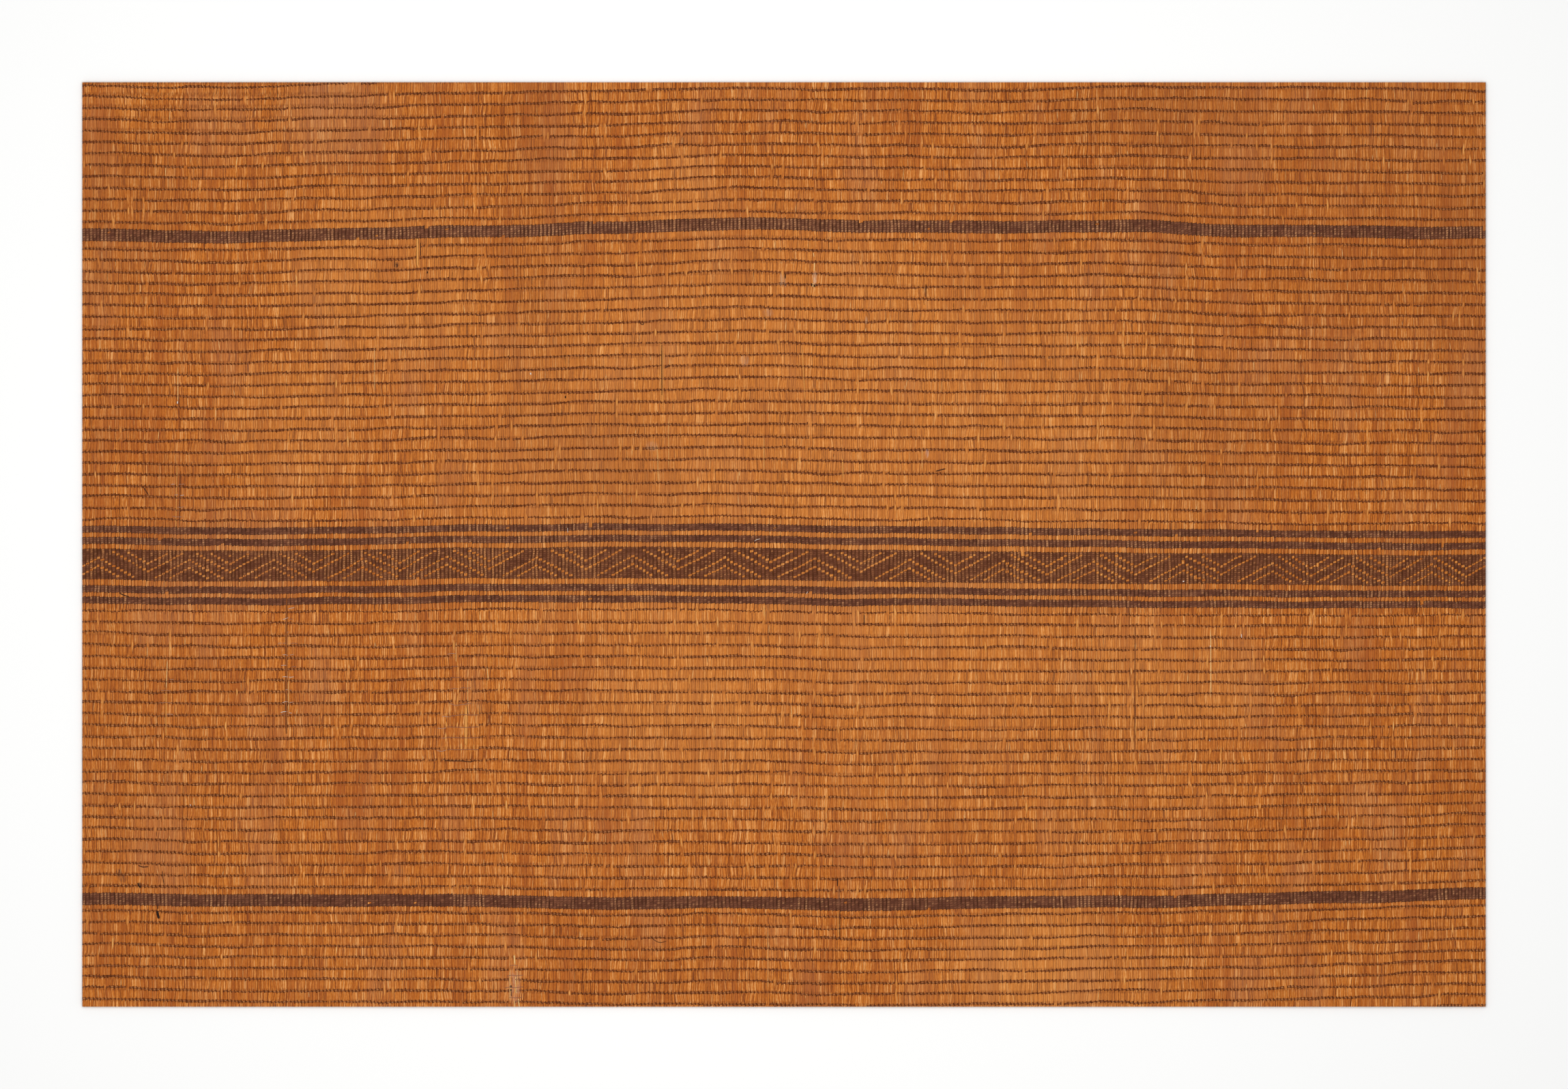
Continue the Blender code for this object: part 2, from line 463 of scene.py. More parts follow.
def pull_of_row(x, row):
    """How far one row pulls the stalks to the right at x."""
    return sum(reach * np.sin(2 * np.pi / length * x + start * row**2) for reach, length, start in PULLS)


def pull(x, y):
    """How far the stalks lie to the right at any place, between the pulls of two rows."""
    count = row_count(y - drift(x, y))
    row = np.floor(count)
    share = count - row
    free = np.clip((LENGTH / 2 - np.abs(x)) / PULL_HELD, 0, 1)
    return free * ((1 - share) * pull_of_row(x, row) + share * pull_of_row(x, row + 1))


print("rows are counted up to", int(ROW_NUMBER[-1]))

# %% [markdown]
# Each stalk is a slightly flattened tube. Nine points round it are enough: three on the crown, which
# shows, two on each side and two below. Its crown is nearly level, because old stalks that were worn
# and pressed together for years have only a shallow dip between them. The fine dark lines between the
# stalks are painted shade with some dust, left to the finish, which can bend them at each row. Along its
# length a stalk leans a little with its neighbours, and the soft waves of the whole mat lift it, as they
# lift the solids.

# %% The shape of a stalk
STALK_MIDDLE = 1.56 * MM
STALK_HALF_HEIGHT = 1.06 * MM
STALK_ROUND = np.array((  # across as a share of half the width, up as a share of half the height
    (-0.78, 0.972),
    (0.00, 1.00),
    (0.78, 0.972),
    (1.00, 0.90),
    (0.95, 0.00),
    (0.45, -0.92),
    (-0.45, -0.92),
    (-0.95, 0.00),
    (-1.00, 0.90),
))
STALK_LIFT = 0.03 * MM * np.random.default_rng(32).uniform(-1, 1, STALKS)
LEANS = ((0.7 * MM, 21, 0.16, 0.20), (0.25 * MM, 22, 0.05, 0.09))
LEAN_HELD = 30 * MM


def lean(x, y):
    """How far the stalks lie to the right of their straight place, nothing at the two outer stalks."""
    free = np.clip((LENGTH / 2 - np.abs(x)) / LEAN_HELD, 0, 1)
    return free * reliefs(x, y, LEANS)


def mat_top(x, y):
    """How high the upper side of the stalks is at any place."""
    straight = x - lean(x, y)
    stalk = np.clip(np.searchsorted(EDGES, straight) - 1, 0, STALKS - 1)
    across = np.abs(straight - STALK_X[stalk]) / (STALK_W[stalk] / 2)
    up = np.interp(across, STALK_ROUND[1:4, 0], STALK_ROUND[1:4, 1])
    return STALK_MIDDLE + STALK_HALF_HEIGHT * up + STALK_LIFT[stalk] + swell(x)


print("top of the mat in its middle:", round(float(mat_top(np.zeros(1), np.zeros(1))[0] / MM), 2), "mm")

# %% [markdown]
# The rings of a stalk follow the drift of the rows, so that the row count changes evenly between two
# of them. The attributes tell the finish where it is: "stalk_count" goes up by one from gap to gap
# across the mat, and "row_count" from row to row along it. The mesh is shaded smooth, but edges that
# bend by more than SHARP stay crisp: they are the rims of the cut ends and the flanks of the gaps.

# %% Build the stalks
STALK_STATIONS = np.array((
    -0.3294, -0.2957, -0.2620, -0.2439, -0.1950, -0.1461, -0.0972, -0.0483, -0.0154,
    0.0175, 0.0668, 0.1161, 0.1654, 0.2147, 0.2340, 0.2817, 0.3294,
))
STALK_TOUCH = 1.012
STALK_TAPER = 0.03
STALK_BUMP = 0.01 * MM
STALK_MAP_SHARES = (3, 3, 1.5, 0.8, 0.8, 0.8, 0.8, 0.8, 1.5)
STALK_MAP_COLUMNS = 94
SHARP = math.radians(60)


def stalk_rings():
    """The X and Y of the middle of each ring of each stalk, and the row count there."""
    x, y = np.meshgrid(STALK_X, STALK_STATIONS, indexing="ij")
    y = y + drift(x, y)
    y[:, 0], y[:, -1] = -WIDTH / 2, WIDTH / 2
    return x + lean(x, y), y, row_count(y - drift(x, y))


def build_stalks():
    """All stalks as one piece, with the attributes that their finish reads."""
    chance = np.random.default_rng(31)
    x, y, rows = stalk_rings()
    half = STALK_W[:, None] / 2 * STALK_TOUCH * (1 - STALK_TAPER * chance.uniform(0, 1, x.shape))
    middle_z = STALK_MIDDLE + swell(x) + STALK_LIFT[:, None] + STALK_BUMP * chance.uniform(-1, 1, x.shape)
    across, up = STALK_ROUND.T
    points = np.empty(x.shape + (len(STALK_ROUND), 3))
    points[..., 0] = np.clip(x[..., None] + half[..., None] * across, -LENGTH / 2, LENGTH / 2)
    points[..., 1] = y[..., None]
    points[..., 2] = middle_z[..., None] + STALK_HALF_HEIGHT * up
    attributes = {
        "stalk_count": np.arange(STALKS)[:, None, None] + (across + 1) / 2,
        "row_count": rows[..., None],
    }
    places = (STALK_STATIONS - STALK_STATIONS[0]) / np.ptp(STALK_STATIONS)
    return tube_mesh("reed_stalks", points, STALK_MAP_SHARES, STALK_MAP_COLUMNS, attributes, places)


reed_stalks = build_stalks()
reed_stalks.data.set_sharp_from_angle(angle=SHARP)
print("stalks:", triangles(reed_stalks), "triangles")

# %% [markdown]
# Every row also wobbles a little, which the solids leave out: partly together with its neighbours and
# partly on its own. A row that runs off the cut edge of the mat ends there.

# %% Where each row lies
EDGE_MARGIN = 0.7 * MM
OPEN_WOBBLE = 0.85 * MM
STRIPE_WOBBLE = 0.06 * MM
TOGETHER = ((0.55 * MM, 51, 0.045, 0.020), (0.30 * MM, 52, 0.020, 0.012))
APART = ((1.0, 53, 0.028, 0.0025), (0.5, 54, 0.009, 0.0025))


def row_places(straight, own_wobble):
    """The Y where each row crosses each stalk, and whether it is still on the mat there."""
    x, y = np.meshgrid(STALK_X, straight)
    places = y + drift(x, y) + reliefs(x, y, TOGETHER) + own_wobble * reliefs(x, y, APART)
    return places, np.abs(places) < WIDTH / 2 - EDGE_MARGIN


PLACES = {
    name: row_places(straight, OPEN_WOBBLE if name in OPEN else STRIPE_WOBBLE)
    for name, straight in STRAIGHT.items()
}
print("the first row of the top field goes from", (PLACES["rows_top"][0][0] / MM)[[0, -1]].round(1), "mm")

# %% [markdown]
# ## The zigzag
# In the figured stripe a double zigzag of bare stalk shows between the thongs. It is charted by its
# turning places: from a peak two arms go down one row for each stalk, and from a valley two arms go
# up. The weaver did not space them evenly, so their places are listed in millimetres from the middle.

# %% Chart of the figured stripe
PEAKS = (
    -488, -424, -363.5, -301.5, -240.5, -176.5, -109.5, -41.5,
    22.5, 88.5, 156.5, 221.5, 285.5, 347.5, 402.5, 461,
)
VALLEYS = (
    -453, -393.5, -335, -272, -210.5, -141, -77, -10,
    56, 123.5, 189, 251.5, 312.5, 374.5, 432, 486.5,
)
PEAK_STARTS = (4, 8)
VALLEY_STARTS = (6, 10)
ARM = 9
FIGURED_ROWS = 15


def nearest_stalk(x_mm):
    """The number of the stalk that lies nearest to a place across the mat."""
    return int(np.abs(STALK_X - x_mm * MM).argmin())


def bare_places():
    """A table of row by stalk that is 1 on arms going down to the right, 2 on the other arms."""
    chart = np.zeros((FIGURED_ROWS, STALKS), int)
    turns = [(nearest_stalk(x), start, 1) for x in PEAKS for start in PEAK_STARTS]
    turns += [(nearest_stalk(x), start, -1) for x in VALLEYS for start in VALLEY_STARTS]
    for middle, start, way in turns:
        for step in range(-ARM, ARM + 1):
            row, stalk = start + way * abs(step), middle + step
            if 1 <= row <= FIGURED_ROWS - 2 and 0 <= stalk < STALKS:
                chart[row, stalk] = 1 if step * way >= 0 else 2
    return chart


BARE = bare_places()
print((BARE > 0).sum(), "places of bare stalk in the figured stripe")

# %% [markdown]
# Some stalks float: the thong missed them, and the pale stalk shows through the row. It happens once
# in about thirty crossings, for one row or for two in turn. It is more common below the figured
# stripe, and most of all near the middle there. A few long floats are listed one by one. Two places
# were mended, where the thong is gone: three boxes cover them.

# %% Missed crossings
MISSED_SHARE = {"rows_top": 0.030, "rows_upper": 0.026, "rows_lower": 0.042, "rows_bottom": 0.030}
MISSED_IN_STRIPES = 0.004
ALONE, IN_PAIRS = 0.6, 0.4
LOOSE_MIDDLE, LOOSE_REACH, LOOSE_MORE = 0.016, 0.050, 1.6
LONG_FLOATS = (  # x, lower and upper y, in millimetres
    (-261.2, 197.5, 221.0),
    (-255.3, 211.5, 219.0),
    (-253.2, 211.5, 219.0),
    (-219.4, 189.5, 201.0),
    (-215.0, 189.0, 206.0),
    (-210.2, 190.0, 203.0),
    (264.0, -70.0, -54.0),
    (247.6, -147.0, -70.0),
    (268.8, -77.0, -57.0),
)
MENDED = (  # left, right, lower and upper edge, in millimetres
    (-243.8, -217.4, -149.0, -118.0),
    (-237.2, -230.4, -118.0, -74.0),
    (-195.6, -189.6, -330.0, -291.0),
)


def missed(name):
    """Which crossings of a set of rows the thong leaves out."""
    places, _ = PLACES[name]
    chance = np.random.default_rng(61 + sum(map(ord, name)))
    share = np.full(places.shape, MISSED_SHARE.get(name, MISSED_IN_STRIPES))
    if name == "rows_lower":
        share = share * (1 + LOOSE_MORE * np.exp(-(((STALK_X - LOOSE_MIDDLE) / LOOSE_REACH) ** 2)))
    alone = chance.uniform(0, 1, places.shape)
    pairs = np.repeat(chance.uniform(0, 1, (len(places) // 2 + 1, STALKS)), 2, axis=0)[: len(places)]
    gone = (alone < share * ALONE) | (pairs < share * IN_PAIRS)
    if name in OPEN:
        for x, low, high in LONG_FLOATS:
            column = nearest_stalk(x)
            gone[:, column] |= (places[:, column] > low * MM) & (places[:, column] < high * MM)
        x, y = STALK_X / MM, places / MM
        for left, right, low, high in MENDED:
            gone |= (x > left) & (x < right) & (y > low) & (y < high)
    if name == "stripe_figured":
        gone |= BARE > 0
    return gone


MISSED = {name: missed(name) for name in STRAIGHT}
print(sum(int(MISSED[name].sum()) for name in OPEN), "crossings missed in the open fields")

# %% [markdown]
# Everything that crosses the stalks or lies on them is a thin strip: thongs, slivers, fibres, threads,
# and painted shade.
# A roof is the simplest section that still catches light along its crest: two feet and a crown. These
# helpers make such tubes, stop them at the cut edges, and keep where each point is for the finishes.

# %% A roof-shaped section
ROOF_MAP_SHARES = (3, 3, 1)


def roof_tubes(path, side, crown, foot):
    """Tubes with a foot on either side of a crown, from tables of tube by ring. None leaves the mat."""
    points = np.empty(crown.shape + (3, 3))
    points[..., :2] = path[..., None, :] + side[..., None, :] * np.array((1, 0, -1))[:, None]
    points[..., :2] = np.clip(points[..., :2], (-LENGTH / 2, -WIDTH / 2), (LENGTH / 2, WIDTH / 2))
    points[..., 2] = np.stack([foot, crown, foot], -1)
    return points


def grain_of(points, number):
    """Where each point is, in millimetres, with a number in place of the height to tell tubes apart."""
    grain = points / MM
    grain[..., 2] = 3.1 * number[:, None, None]
    return grain


def roof_mesh(name, points, attributes):
    """One piece from many such tubes, laid out in a square on the map."""
    return tube_mesh(name, points, ROOF_MAP_SHARES, math.ceil(math.sqrt(len(points))), attributes)


print("a roof-shaped tube of 4 rings has", 2 * len(tube_faces(1, 4, 3)[0]) + 2, "triangles")

# %% [markdown]
# At a crossing the thong rises out of the gap on the left, passes over the stalk and dives into the
# gap on the right, a little higher up. So each crossing leans like a stroke of a pen, and where two of
# them meet in a gap the row looks thick and dark. One crossing is a short tube of four rings: only 20
# triangles, because there are nearly forty thousand of them. In a stripe the thongs lie so close that
# they bridge the gaps.

# %% One crossing, many times
OPEN_ARCH = np.array((  # across in half stalks, height of ridge and feet in mm, share of the breadth
    (-1.06, 2.82, 2.60, 1.24),
    (-0.40, 2.94, 2.63, 0.88),
    (0.40, 2.94, 2.63, 0.88),
    (1.06, 2.82, 2.60, 1.24),
))
STRIPE_ARCH = np.array((
    (-1.20, 2.82, 2.77, 1.22),
    (-0.60, 2.96, 2.89, 1.00),
    (0.60, 2.96, 2.89, 1.00),
    (1.20, 2.82, 2.77, 1.22),
))
RING_SHIFT = 0.05 * MM
RING_RISE = 0.03 * MM
RING_UNEVEN = 0.16


def crossing_tubes(stalk, y, half_width, slant, lift, arch, chance):
    """The rings of the crossings that lie on the given stalks at the given Y."""
    across, ridge, foot, breadth = arch.T
    x = STALK_X[stalk] + lean(STALK_X[stalk], y) + pull(STALK_X[stalk], y)
    ring_x = x[:, None] + STALK_W[stalk][:, None] / 2 * across
    ring_y = y[:, None] + slant[:, None] * across + RING_SHIFT * chance.uniform(-1, 1, ring_x.shape)
    rise = (swell(x) + STALK_LIFT[stalk] + lift)[:, None] + RING_RISE * chance.uniform(-1, 1, ring_x.shape)
    side = half_width[:, None] * breadth * (1 + RING_UNEVEN * chance.uniform(-1, 1, ring_x.shape))
    path, sideways = np.stack([ring_x, ring_y], -1), np.stack([0 * side, side], -1)
    return roof_tubes(path, sideways, ridge * MM + rise, foot * MM + rise)


print("crossings rise to", OPEN_ARCH[:, 1].max(), "mm, in stripes to", STRIPE_ARCH[:, 1].max(), "mm")

# %% [markdown]
# Wear is kept as an attribute. Where hands and feet rubbed the leather it is paler: in the open fields
# here and there, in the stripes along whole stalks, because a stalk that stands a little proud takes
# the rubbing for all the thongs that cross it.

# %% How worn each crossing is
WORN_PLACES = (  # stripe, x and reach in millimetres, how much more it is worn there
    ("stripe_figured", -350, 60, 0.16),
    ("stripe_figured", -490, 35, -0.22),
    ("stripe_upper", 10, 90, 0.26),
    ("stripe_upper", 370, 90, -0.14),
    ("stripe_lower", 50, 90, -0.10),
)
OPEN_WEAR = {"rows_top": 0.34, "rows_upper": 0.33, "rows_lower": 0.54, "rows_bottom": 0.44}
UPPER_STRIPE_WEAR, STRIPE_WEAR = 0.20, 0.07
PROUD = 0.45  # the share of the stalks in a stripe that stand no prouder than their neighbours
DASHED = 0.72  # crossings whose own draw is above this are rubbed as single pale dashes


def rubbed(name, stalk, y, chance):
    """How worn each crossing is, from 0 to 1."""
    broad = relief(STALK_X[stalk], y, 71, 0.055, 0.05)
    own = chance.uniform(-1, 1, len(stalk))
    if name in OPEN:
        return np.clip(OPEN_WEAR[name] + 0.28 * broad + 0.34 * own, 0, 1)
    patch = relief(STALK_X[stalk], y, 73, 0.016, 0.006)
    proud = np.random.default_rng(72 + sum(map(ord, name))).uniform(0, 1, STALKS)[stalk]
    stalk_wear = np.clip((proud - PROUD) / (1 - PROUD), 0, 1) ** 2
    dash = np.clip((own - DASHED) / (1 - DASHED), 0, 1)
    worn = (UPPER_STRIPE_WEAR if name == "stripe_upper" else STRIPE_WEAR) + 0.12 * broad + 0.18 * patch
    worn = worn + (0.52 + 0.40 * broad + 0.25 * patch) * stalk_wear
    for stripe, x, reach, more in WORN_PLACES:
        if stripe == name:
            worn = worn + more * np.exp(-(((STALK_X[stalk] / MM - x) / reach) ** 2))
    return np.clip(worn + 0.18 * own + 0.40 * dash, 0, 1)


print("places with a wear of their own:", len(WORN_PLACES))

# %% [markdown]
# A bare place in the zigzag is a small hole: the thongs above and below it bend apart to let the stalk
# through. They bend further on the arms that go down to the right, as the photograph shows.

# %% Room for the zigzag
DOT_ROOM = (0.0, 0.27 * MM, 0.16 * MM)


def pushed_aside():
    """How far the bare places push the thongs above and below them, upwards being positive."""
    room = np.array(DOT_ROOM)[BARE]
    push = np.zeros(BARE.shape)
    push[:-1] += room[1:]
    push[1:] -= room[:-1]
    return push


print("thongs pushed aside:", (pushed_aside() != 0).sum())

# %% [markdown]
# Now every set of rows becomes a piece. The open rows are narrow, and thicker in some stretches than
# in others. In a stripe each thong is broader than its row, so that they overlap and hide the stalks.
# The plain stripes and lines are less even than the figured one. The attribute "across" runs from -1
# in the left gap to 1 in the right one, and "ridge" is 1 on the thong's crest.

# %% Build the crossings
OPEN_HALF_WIDTH = 0.68 * MM
OPEN_SLANT = 0.30 * MM
OPEN_BREADTH = {"rows_top": 1.0, "rows_upper": 1.0, "rows_lower": 0.93, "rows_bottom": 0.97}
OPEN_UNEVEN = {"rows_top": 1.0, "rows_upper": 1.0, "rows_lower": 1.4, "rows_bottom": 1.2}
PLAIN_SLANT, FIGURED_SLANT = 0.30 * MM, 0.27 * MM
PLAIN_COVER, FIGURED_COVER = 0.64, 0.60
PLAIN_SHIFT, SHIFT = 0.14 * MM, 0.06 * MM
LIFT = 0.04 * MM


def build_rows(name, pitch=None):
    """All crossings of one field or stripe as one piece."""
    chance = np.random.default_rng(sum(map(ord, name)))
    places, on_mat = PLACES[name]
    row, stalk = np.nonzero(on_mat & ~MISSED[name])
    count = len(row)
    plain = pitch is not None and name != "stripe_figured"
    y = places[row, stalk] + (PLAIN_SHIFT if plain else SHIFT) * chance.uniform(-1, 1, count)
    if name == "stripe_figured":
        y = y + pushed_aside()[row, stalk]
    if pitch is None:
        uneven = 0.26 * relief(STALK_X[stalk], y, 91, 0.020, 0.004) + 0.18 * chance.uniform(-1, 1, count)
        half_width = OPEN_HALF_WIDTH * (OPEN_BREADTH[name] + OPEN_UNEVEN[name] * uneven)
        slant = OPEN_SLANT * (1 + 0.8 * chance.uniform(-1, 1, count))
    else:
        cover = PLAIN_COVER if plain else FIGURED_COVER
        half_width = pitch * cover * (1 + 0.06 * chance.uniform(-1, 1, count))
        slant = (PLAIN_SLANT if plain else FIGURED_SLANT) * (1 + 0.15 * chance.uniform(-1, 1, count))
    lift = LIFT * chance.uniform(-1, 1, count)
    arch = OPEN_ARCH if pitch is None else STRIPE_ARCH
    points = crossing_tubes(stalk, y, half_width, slant, lift, arch, chance)
    return roof_mesh(name if pitch is None else "thongs_" + name, points, {
        "wear": rubbed(name, stalk, y, chance)[:, None, None],
        "tone": chance.uniform(0, 1, (count, 1, 1)),
        "across": arch[:, :1],
        "ridge": (0.0, 1.0, 0.0),
        "grain": grain_of(points, row),
    })


row_pieces = {name: build_rows(name) for name in OPEN}
stripe_pieces = {name: build_rows(name, pitch) for name, _, _, pitch in STRIPES}
for piece in [*row_pieces.values(), *stripe_pieces.values()]:
    print(piece.name, triangles(piece), "triangles")

# %% [markdown]
# Under the stalks each thong runs on as a flat band. It lies on the floor and is seldom seen, so a
# plain strip for each row is enough, bent with the drift of its row.

# %% Undersides
UNDER_STEP = 7
UNDER_HALF_WIDTH = 0.60 * MM
UNDER_LOW = 0.03 * MM
UNDER_HIGH = 0.55 * MM
UNDER_MAP_SHARES = (1, 1, 2)
UNDER_MAP_COLUMNS = 28


def build_undersides():
    """One flat strip under the stalks for each row of thong."""
    at = np.unique(np.append(np.arange(0, STALKS, UNDER_STEP), STALKS - 1))
    y = np.concatenate([places[:, at] for places, _ in PLACES.values()])
    y = np.clip(y, -WIDTH / 2 + EDGE_MARGIN, WIDTH / 2 - EDGE_MARGIN)
    path = np.stack([np.broadcast_to(STALK_X[at], y.shape), y], -1)
    side = np.broadcast_to((0, -UNDER_HALF_WIDTH), path.shape)
    points = roof_tubes(path, side, np.full(y.shape, UNDER_HIGH), np.full(y.shape, UNDER_LOW))
    plain = {"wear": 0.2, "tone": 0.5, "across": 0.0, "ridge": 0.5, "grain": points / MM}
    return tube_mesh("thong_undersides", points, UNDER_MAP_SHARES, UNDER_MAP_COLUMNS, plain)


undersides = build_undersides()
print("undersides:", triangles(undersides), "triangles")

# %% [markdown]
# ## Split stalks, fibres and mends
# What makes the mat look old lies on top: slivers of split stalk, floats that bulge, dark fibres and
# painted shade in the gaps, and a few mends in thin pale thread. The first helper lays such strips along
# any path, with their feet on the stalks. The others read paths of a few points from a table.

# %% Strips laid on the mat
def laid_strips(name, path, half_width, crown, thick, tone):
    """Thin strips along paths, given as strip by ring by X and Y, with a crown height for each ring."""
    ahead = np.gradient(path, axis=1)
    ahead = ahead / np.hypot(ahead[..., 0], ahead[..., 1])[..., None]
    side = np.stack([-ahead[..., 1], ahead[..., 0]], -1) * half_width[..., None]
    points = roof_tubes(path, side, crown, crown - thick)
    return roof_mesh(name, points, {
        "tone": tone[:, None, None],
        "grain": grain_of(points, np.arange(len(path))),
    })


def follow(path_mm, rings):
    """A path given as X, Y, X, Y and so on, as a fixed number of rings, evenly spaced."""
    path = np.array(path_mm).reshape(-1, 2) * MM
    reached = np.concatenate([[0], np.cumsum(np.hypot(*np.diff(path, axis=0).T))])
    even = np.linspace(0, reached[-1], rings)
    return np.stack([np.interp(even, reached, path[:, axis]) for axis in (0, 1)], -1)


def listed(table, rings):
    """The paths, half widths and tones of a table of strips."""
    tone, half_width = np.array([line[:2] for line in table]).T
    return np.stack([follow(line[2:], rings) for line in table]), half_width[:, None] * MM, tone


print("a path of two points in three rings:", follow((0, 0, 2, 0), 3)[:, 0].tolist())

# %% [markdown]
# A dry stalk splits along its grain, and the loose sliver catches the light. Most slivers start at a
# row of thong and end before the next one. They are drawn at random in the spaces between the rows.

# %% Slivers of split stalk
SLIVERS = 1150
ROW_ROOM = 0.6 * MM
ROOTED_BELOW = 0.7


def open_spaces():
    """The stalk, and the row below and above, of every space between two rows of the open fields."""
    spaces = []
    for name in OPEN:
        places, on_mat = PLACES[name]
        stalk = np.broadcast_to(np.arange(STALKS), places[1:].shape)
        whole = on_mat[1:] & on_mat[:-1]
        spaces.append(np.stack([stalk[whole], places[1:][whole], places[:-1][whole]]))
    stalk, low, high = np.concatenate(spaces, 1)
    return stalk.astype(int), low, high


def build_slivers():
    """Slivers at random places: broad in the middle, narrow at the root and narrower at the tip."""
    chance = np.random.default_rng(101)
    stalk, low, high = open_spaces()
    pick = chance.integers(0, len(stalk), SLIVERS)
    stalk, low, high = stalk[pick], low[pick] + ROW_ROOM, high[pick] - ROW_ROOM
    reach = (high - low) * chance.uniform(0.3, 1.0, SLIVERS)
    rooted_below = chance.uniform(0, 1, SLIVERS) < ROOTED_BELOW
    start, way = np.where(rooted_below, low, high), np.where(rooted_below, 1, -1)
    y = start[:, None] + (reach * way)[:, None] * (0.0, 0.5, 1.0)
    straight = STALK_X[stalk] + chance.uniform(-0.75, 0.75, SLIVERS) * STALK_W[stalk] / 2
    tilt = 0.30 * MM * chance.normal(0, 1, SLIVERS)
    x = straight[:, None] + tilt[:, None] * (-0.5, 0.0, 0.5)
    x = x + lean(x, y) + pull(x, y)
    half_width = chance.uniform(0.10, 0.26, SLIVERS)[:, None] * MM * (0.7, 1.0, 0.4)
    crown = mat_top(x, y) + chance.uniform(0.05, 0.12, SLIVERS)[:, None] * MM
    tone = chance.uniform(0.2, 1.0, SLIVERS)
    path = np.stack([x, y], -1)
    for table in (path, half_width, crown):
        table[~rooted_below] = table[~rooted_below][:, ::-1]
    return laid_strips("slivers", path, half_width, crown, 0.10 * MM, tone)


slivers = build_slivers()
print("slivers:", triangles(slivers), "triangles")

# %% [markdown]
# Where the thong missed a stalk, nothing holds it down. It bulges a little and was rubbed pale. So
# most floats get a pale strip along the crown, short ones in the dots of the zigzag too.

# %% Floats
FLOAT_REACH = 3.6 * MM
DOT_REACH = 0.7 * MM
PALE_FLOATS = 0.75


def build_floats():
    """A strip on three of four floats, with its ends sunk into the stalk."""
    chance = np.random.default_rng(111)
    found = []
    for name in [*OPEN, "stripe_figured"]:
        places, on_mat = PLACES[name]
        row, stalk = np.nonzero(MISSED[name] & on_mat)
        reach = np.full(len(row), FLOAT_REACH if name in OPEN else DOT_REACH)
        found.append(np.stack([stalk, places[row, stalk], reach]))
    stalk, middle, reach = np.concatenate(found, 1)
    inside = np.abs(middle) < WIDTH / 2 - 1.5 * FLOAT_REACH
    kept = inside & (chance.uniform(0, 1, len(stalk)) < PALE_FLOATS)
    stalk, middle, reach = stalk[kept].astype(int), middle[kept], reach[kept]
    count = len(stalk)
    reach = reach * chance.uniform(0.6, 1.4, count)
    y = middle[:, None] + reach[:, None] * (-1.0, -0.35, 0.35, 1.0)
    x = np.repeat(STALK_X[stalk][:, None], 4, axis=1) + 0.12 * MM * chance.uniform(-1, 1, (count, 1))
    x = x + lean(x, y) + pull(x, y)
    half_width = STALK_W[stalk][:, None] / 2 * chance.uniform(0.18, 0.50, (count, 1)) * (0.6, 1.0, 1.0, 0.6)
    crown = mat_top(x, y) + MM * chance.uniform(0.5, 1.0, (count, 1)) * (0.02, 0.12, 0.12, 0.02)
    tone = chance.uniform(0.0, 0.6, count)
    return laid_strips("floats", np.stack([x, y], -1), half_width, crown, 0.12 * MM, tone)


floats = build_floats()
print("floats:", triangles(floats), "triangles")

# %% [markdown]
# A few splits and floats are long enough to be seen from across a room. They are listed one by one.

# %% Long pale splits
PALE_SPLITS = (  # tone, half width and path, in millimetres
    (0.80, 0.32, -431.9, 126.6, -431.9, 101.6),
    (0.50, 0.32, -432.5, 59.7, -433.5, 8.0),
    (0.90, 0.28, -439.4, -82.2, -440.2, -103.1),
    (0.35, 0.50, -440.2, -103.1, -440.5, -137.0),
    (0.75, 0.25, -353.0, -95.5, -353.1, -119.8),
    (0.80, 0.25, -233.7, -69.3, -233.7, -83.9),
    (0.60, 0.20, -235.5, -102.3, -235.3, -114.0),
    (0.60, 0.22, -238.1, -113.0, -237.9, -125.2),
    (0.80, 0.20, -225.4, -95.8, -225.2, -113.5),
    (0.45, 1.10, -226.5, -114.0, -226.7, -144.6),
    (0.85, 0.30, -211.6, -86.8, -210.7, -97.0),
    (0.90, 0.50, -192.3, -292.4, -191.8, -299.2),
    (0.75, 0.30, -195.4, -303.0, -195.3, -326.4),
    (0.85, 0.35, -191.3, -307.3, -190.9, -320.3),
    (0.70, 0.30, -190.1, -302.4, -189.6, -314.2),
    (0.70, 0.40, -192.3, -325.0, -192.0, -329.3),
    (0.90, 0.40, -189.3, -323.5, -188.7, -329.3),
    (0.95, 0.30, 21.0, 207.8, 21.4, 204.9),
    (0.95, 0.35, 21.8, 201.0, 21.4, 194.7),
    (1.00, 0.40, 20.7, 186.4, 20.6, 183.5),
    (1.00, 0.30, 304.1, -60.0, 304.2, -109.1),
    (0.45, 0.32, 38.4, -261.0, 38.5, -279.0),
    (0.70, 0.22, -11.4, -272.0, -11.4, -317.2),
    (0.40, 0.42, 12.8, 141.3, 15.1, 101.8),
    (0.35, 0.45, -87.9, 150.6, -87.6, 98.0),
    (0.45, 0.36, -86.3, 143.0, -86.2, 94.1),
    (0.55, 0.38, -14.3, 76.9, -14.3, 52.9),
    (0.60, 0.34, -90.2, 70.7, -89.7, 45.2),
    (0.55, 0.30, -82.4, 90.9, -82.2, 53.7),
    (0.55, 0.42, 98.4, 69.3, 98.4, 52.9),
    (0.35, 0.60, 41.6, 61.5, 42.2, 47.5),
    (0.80, 0.22, -291.9, 141.7, -291.7, 108.6),
    (0.40, 0.90, -261.3, 220.9, -261.1, 197.1),
)
print(len(PALE_SPLITS), "long splits")

# %% [markdown]
# A long split stands a little proud of its stalk. It is thin at both ends, and it is never lower than
# the stalk under its middle, so that it doesn't sink where it leans over a gap.

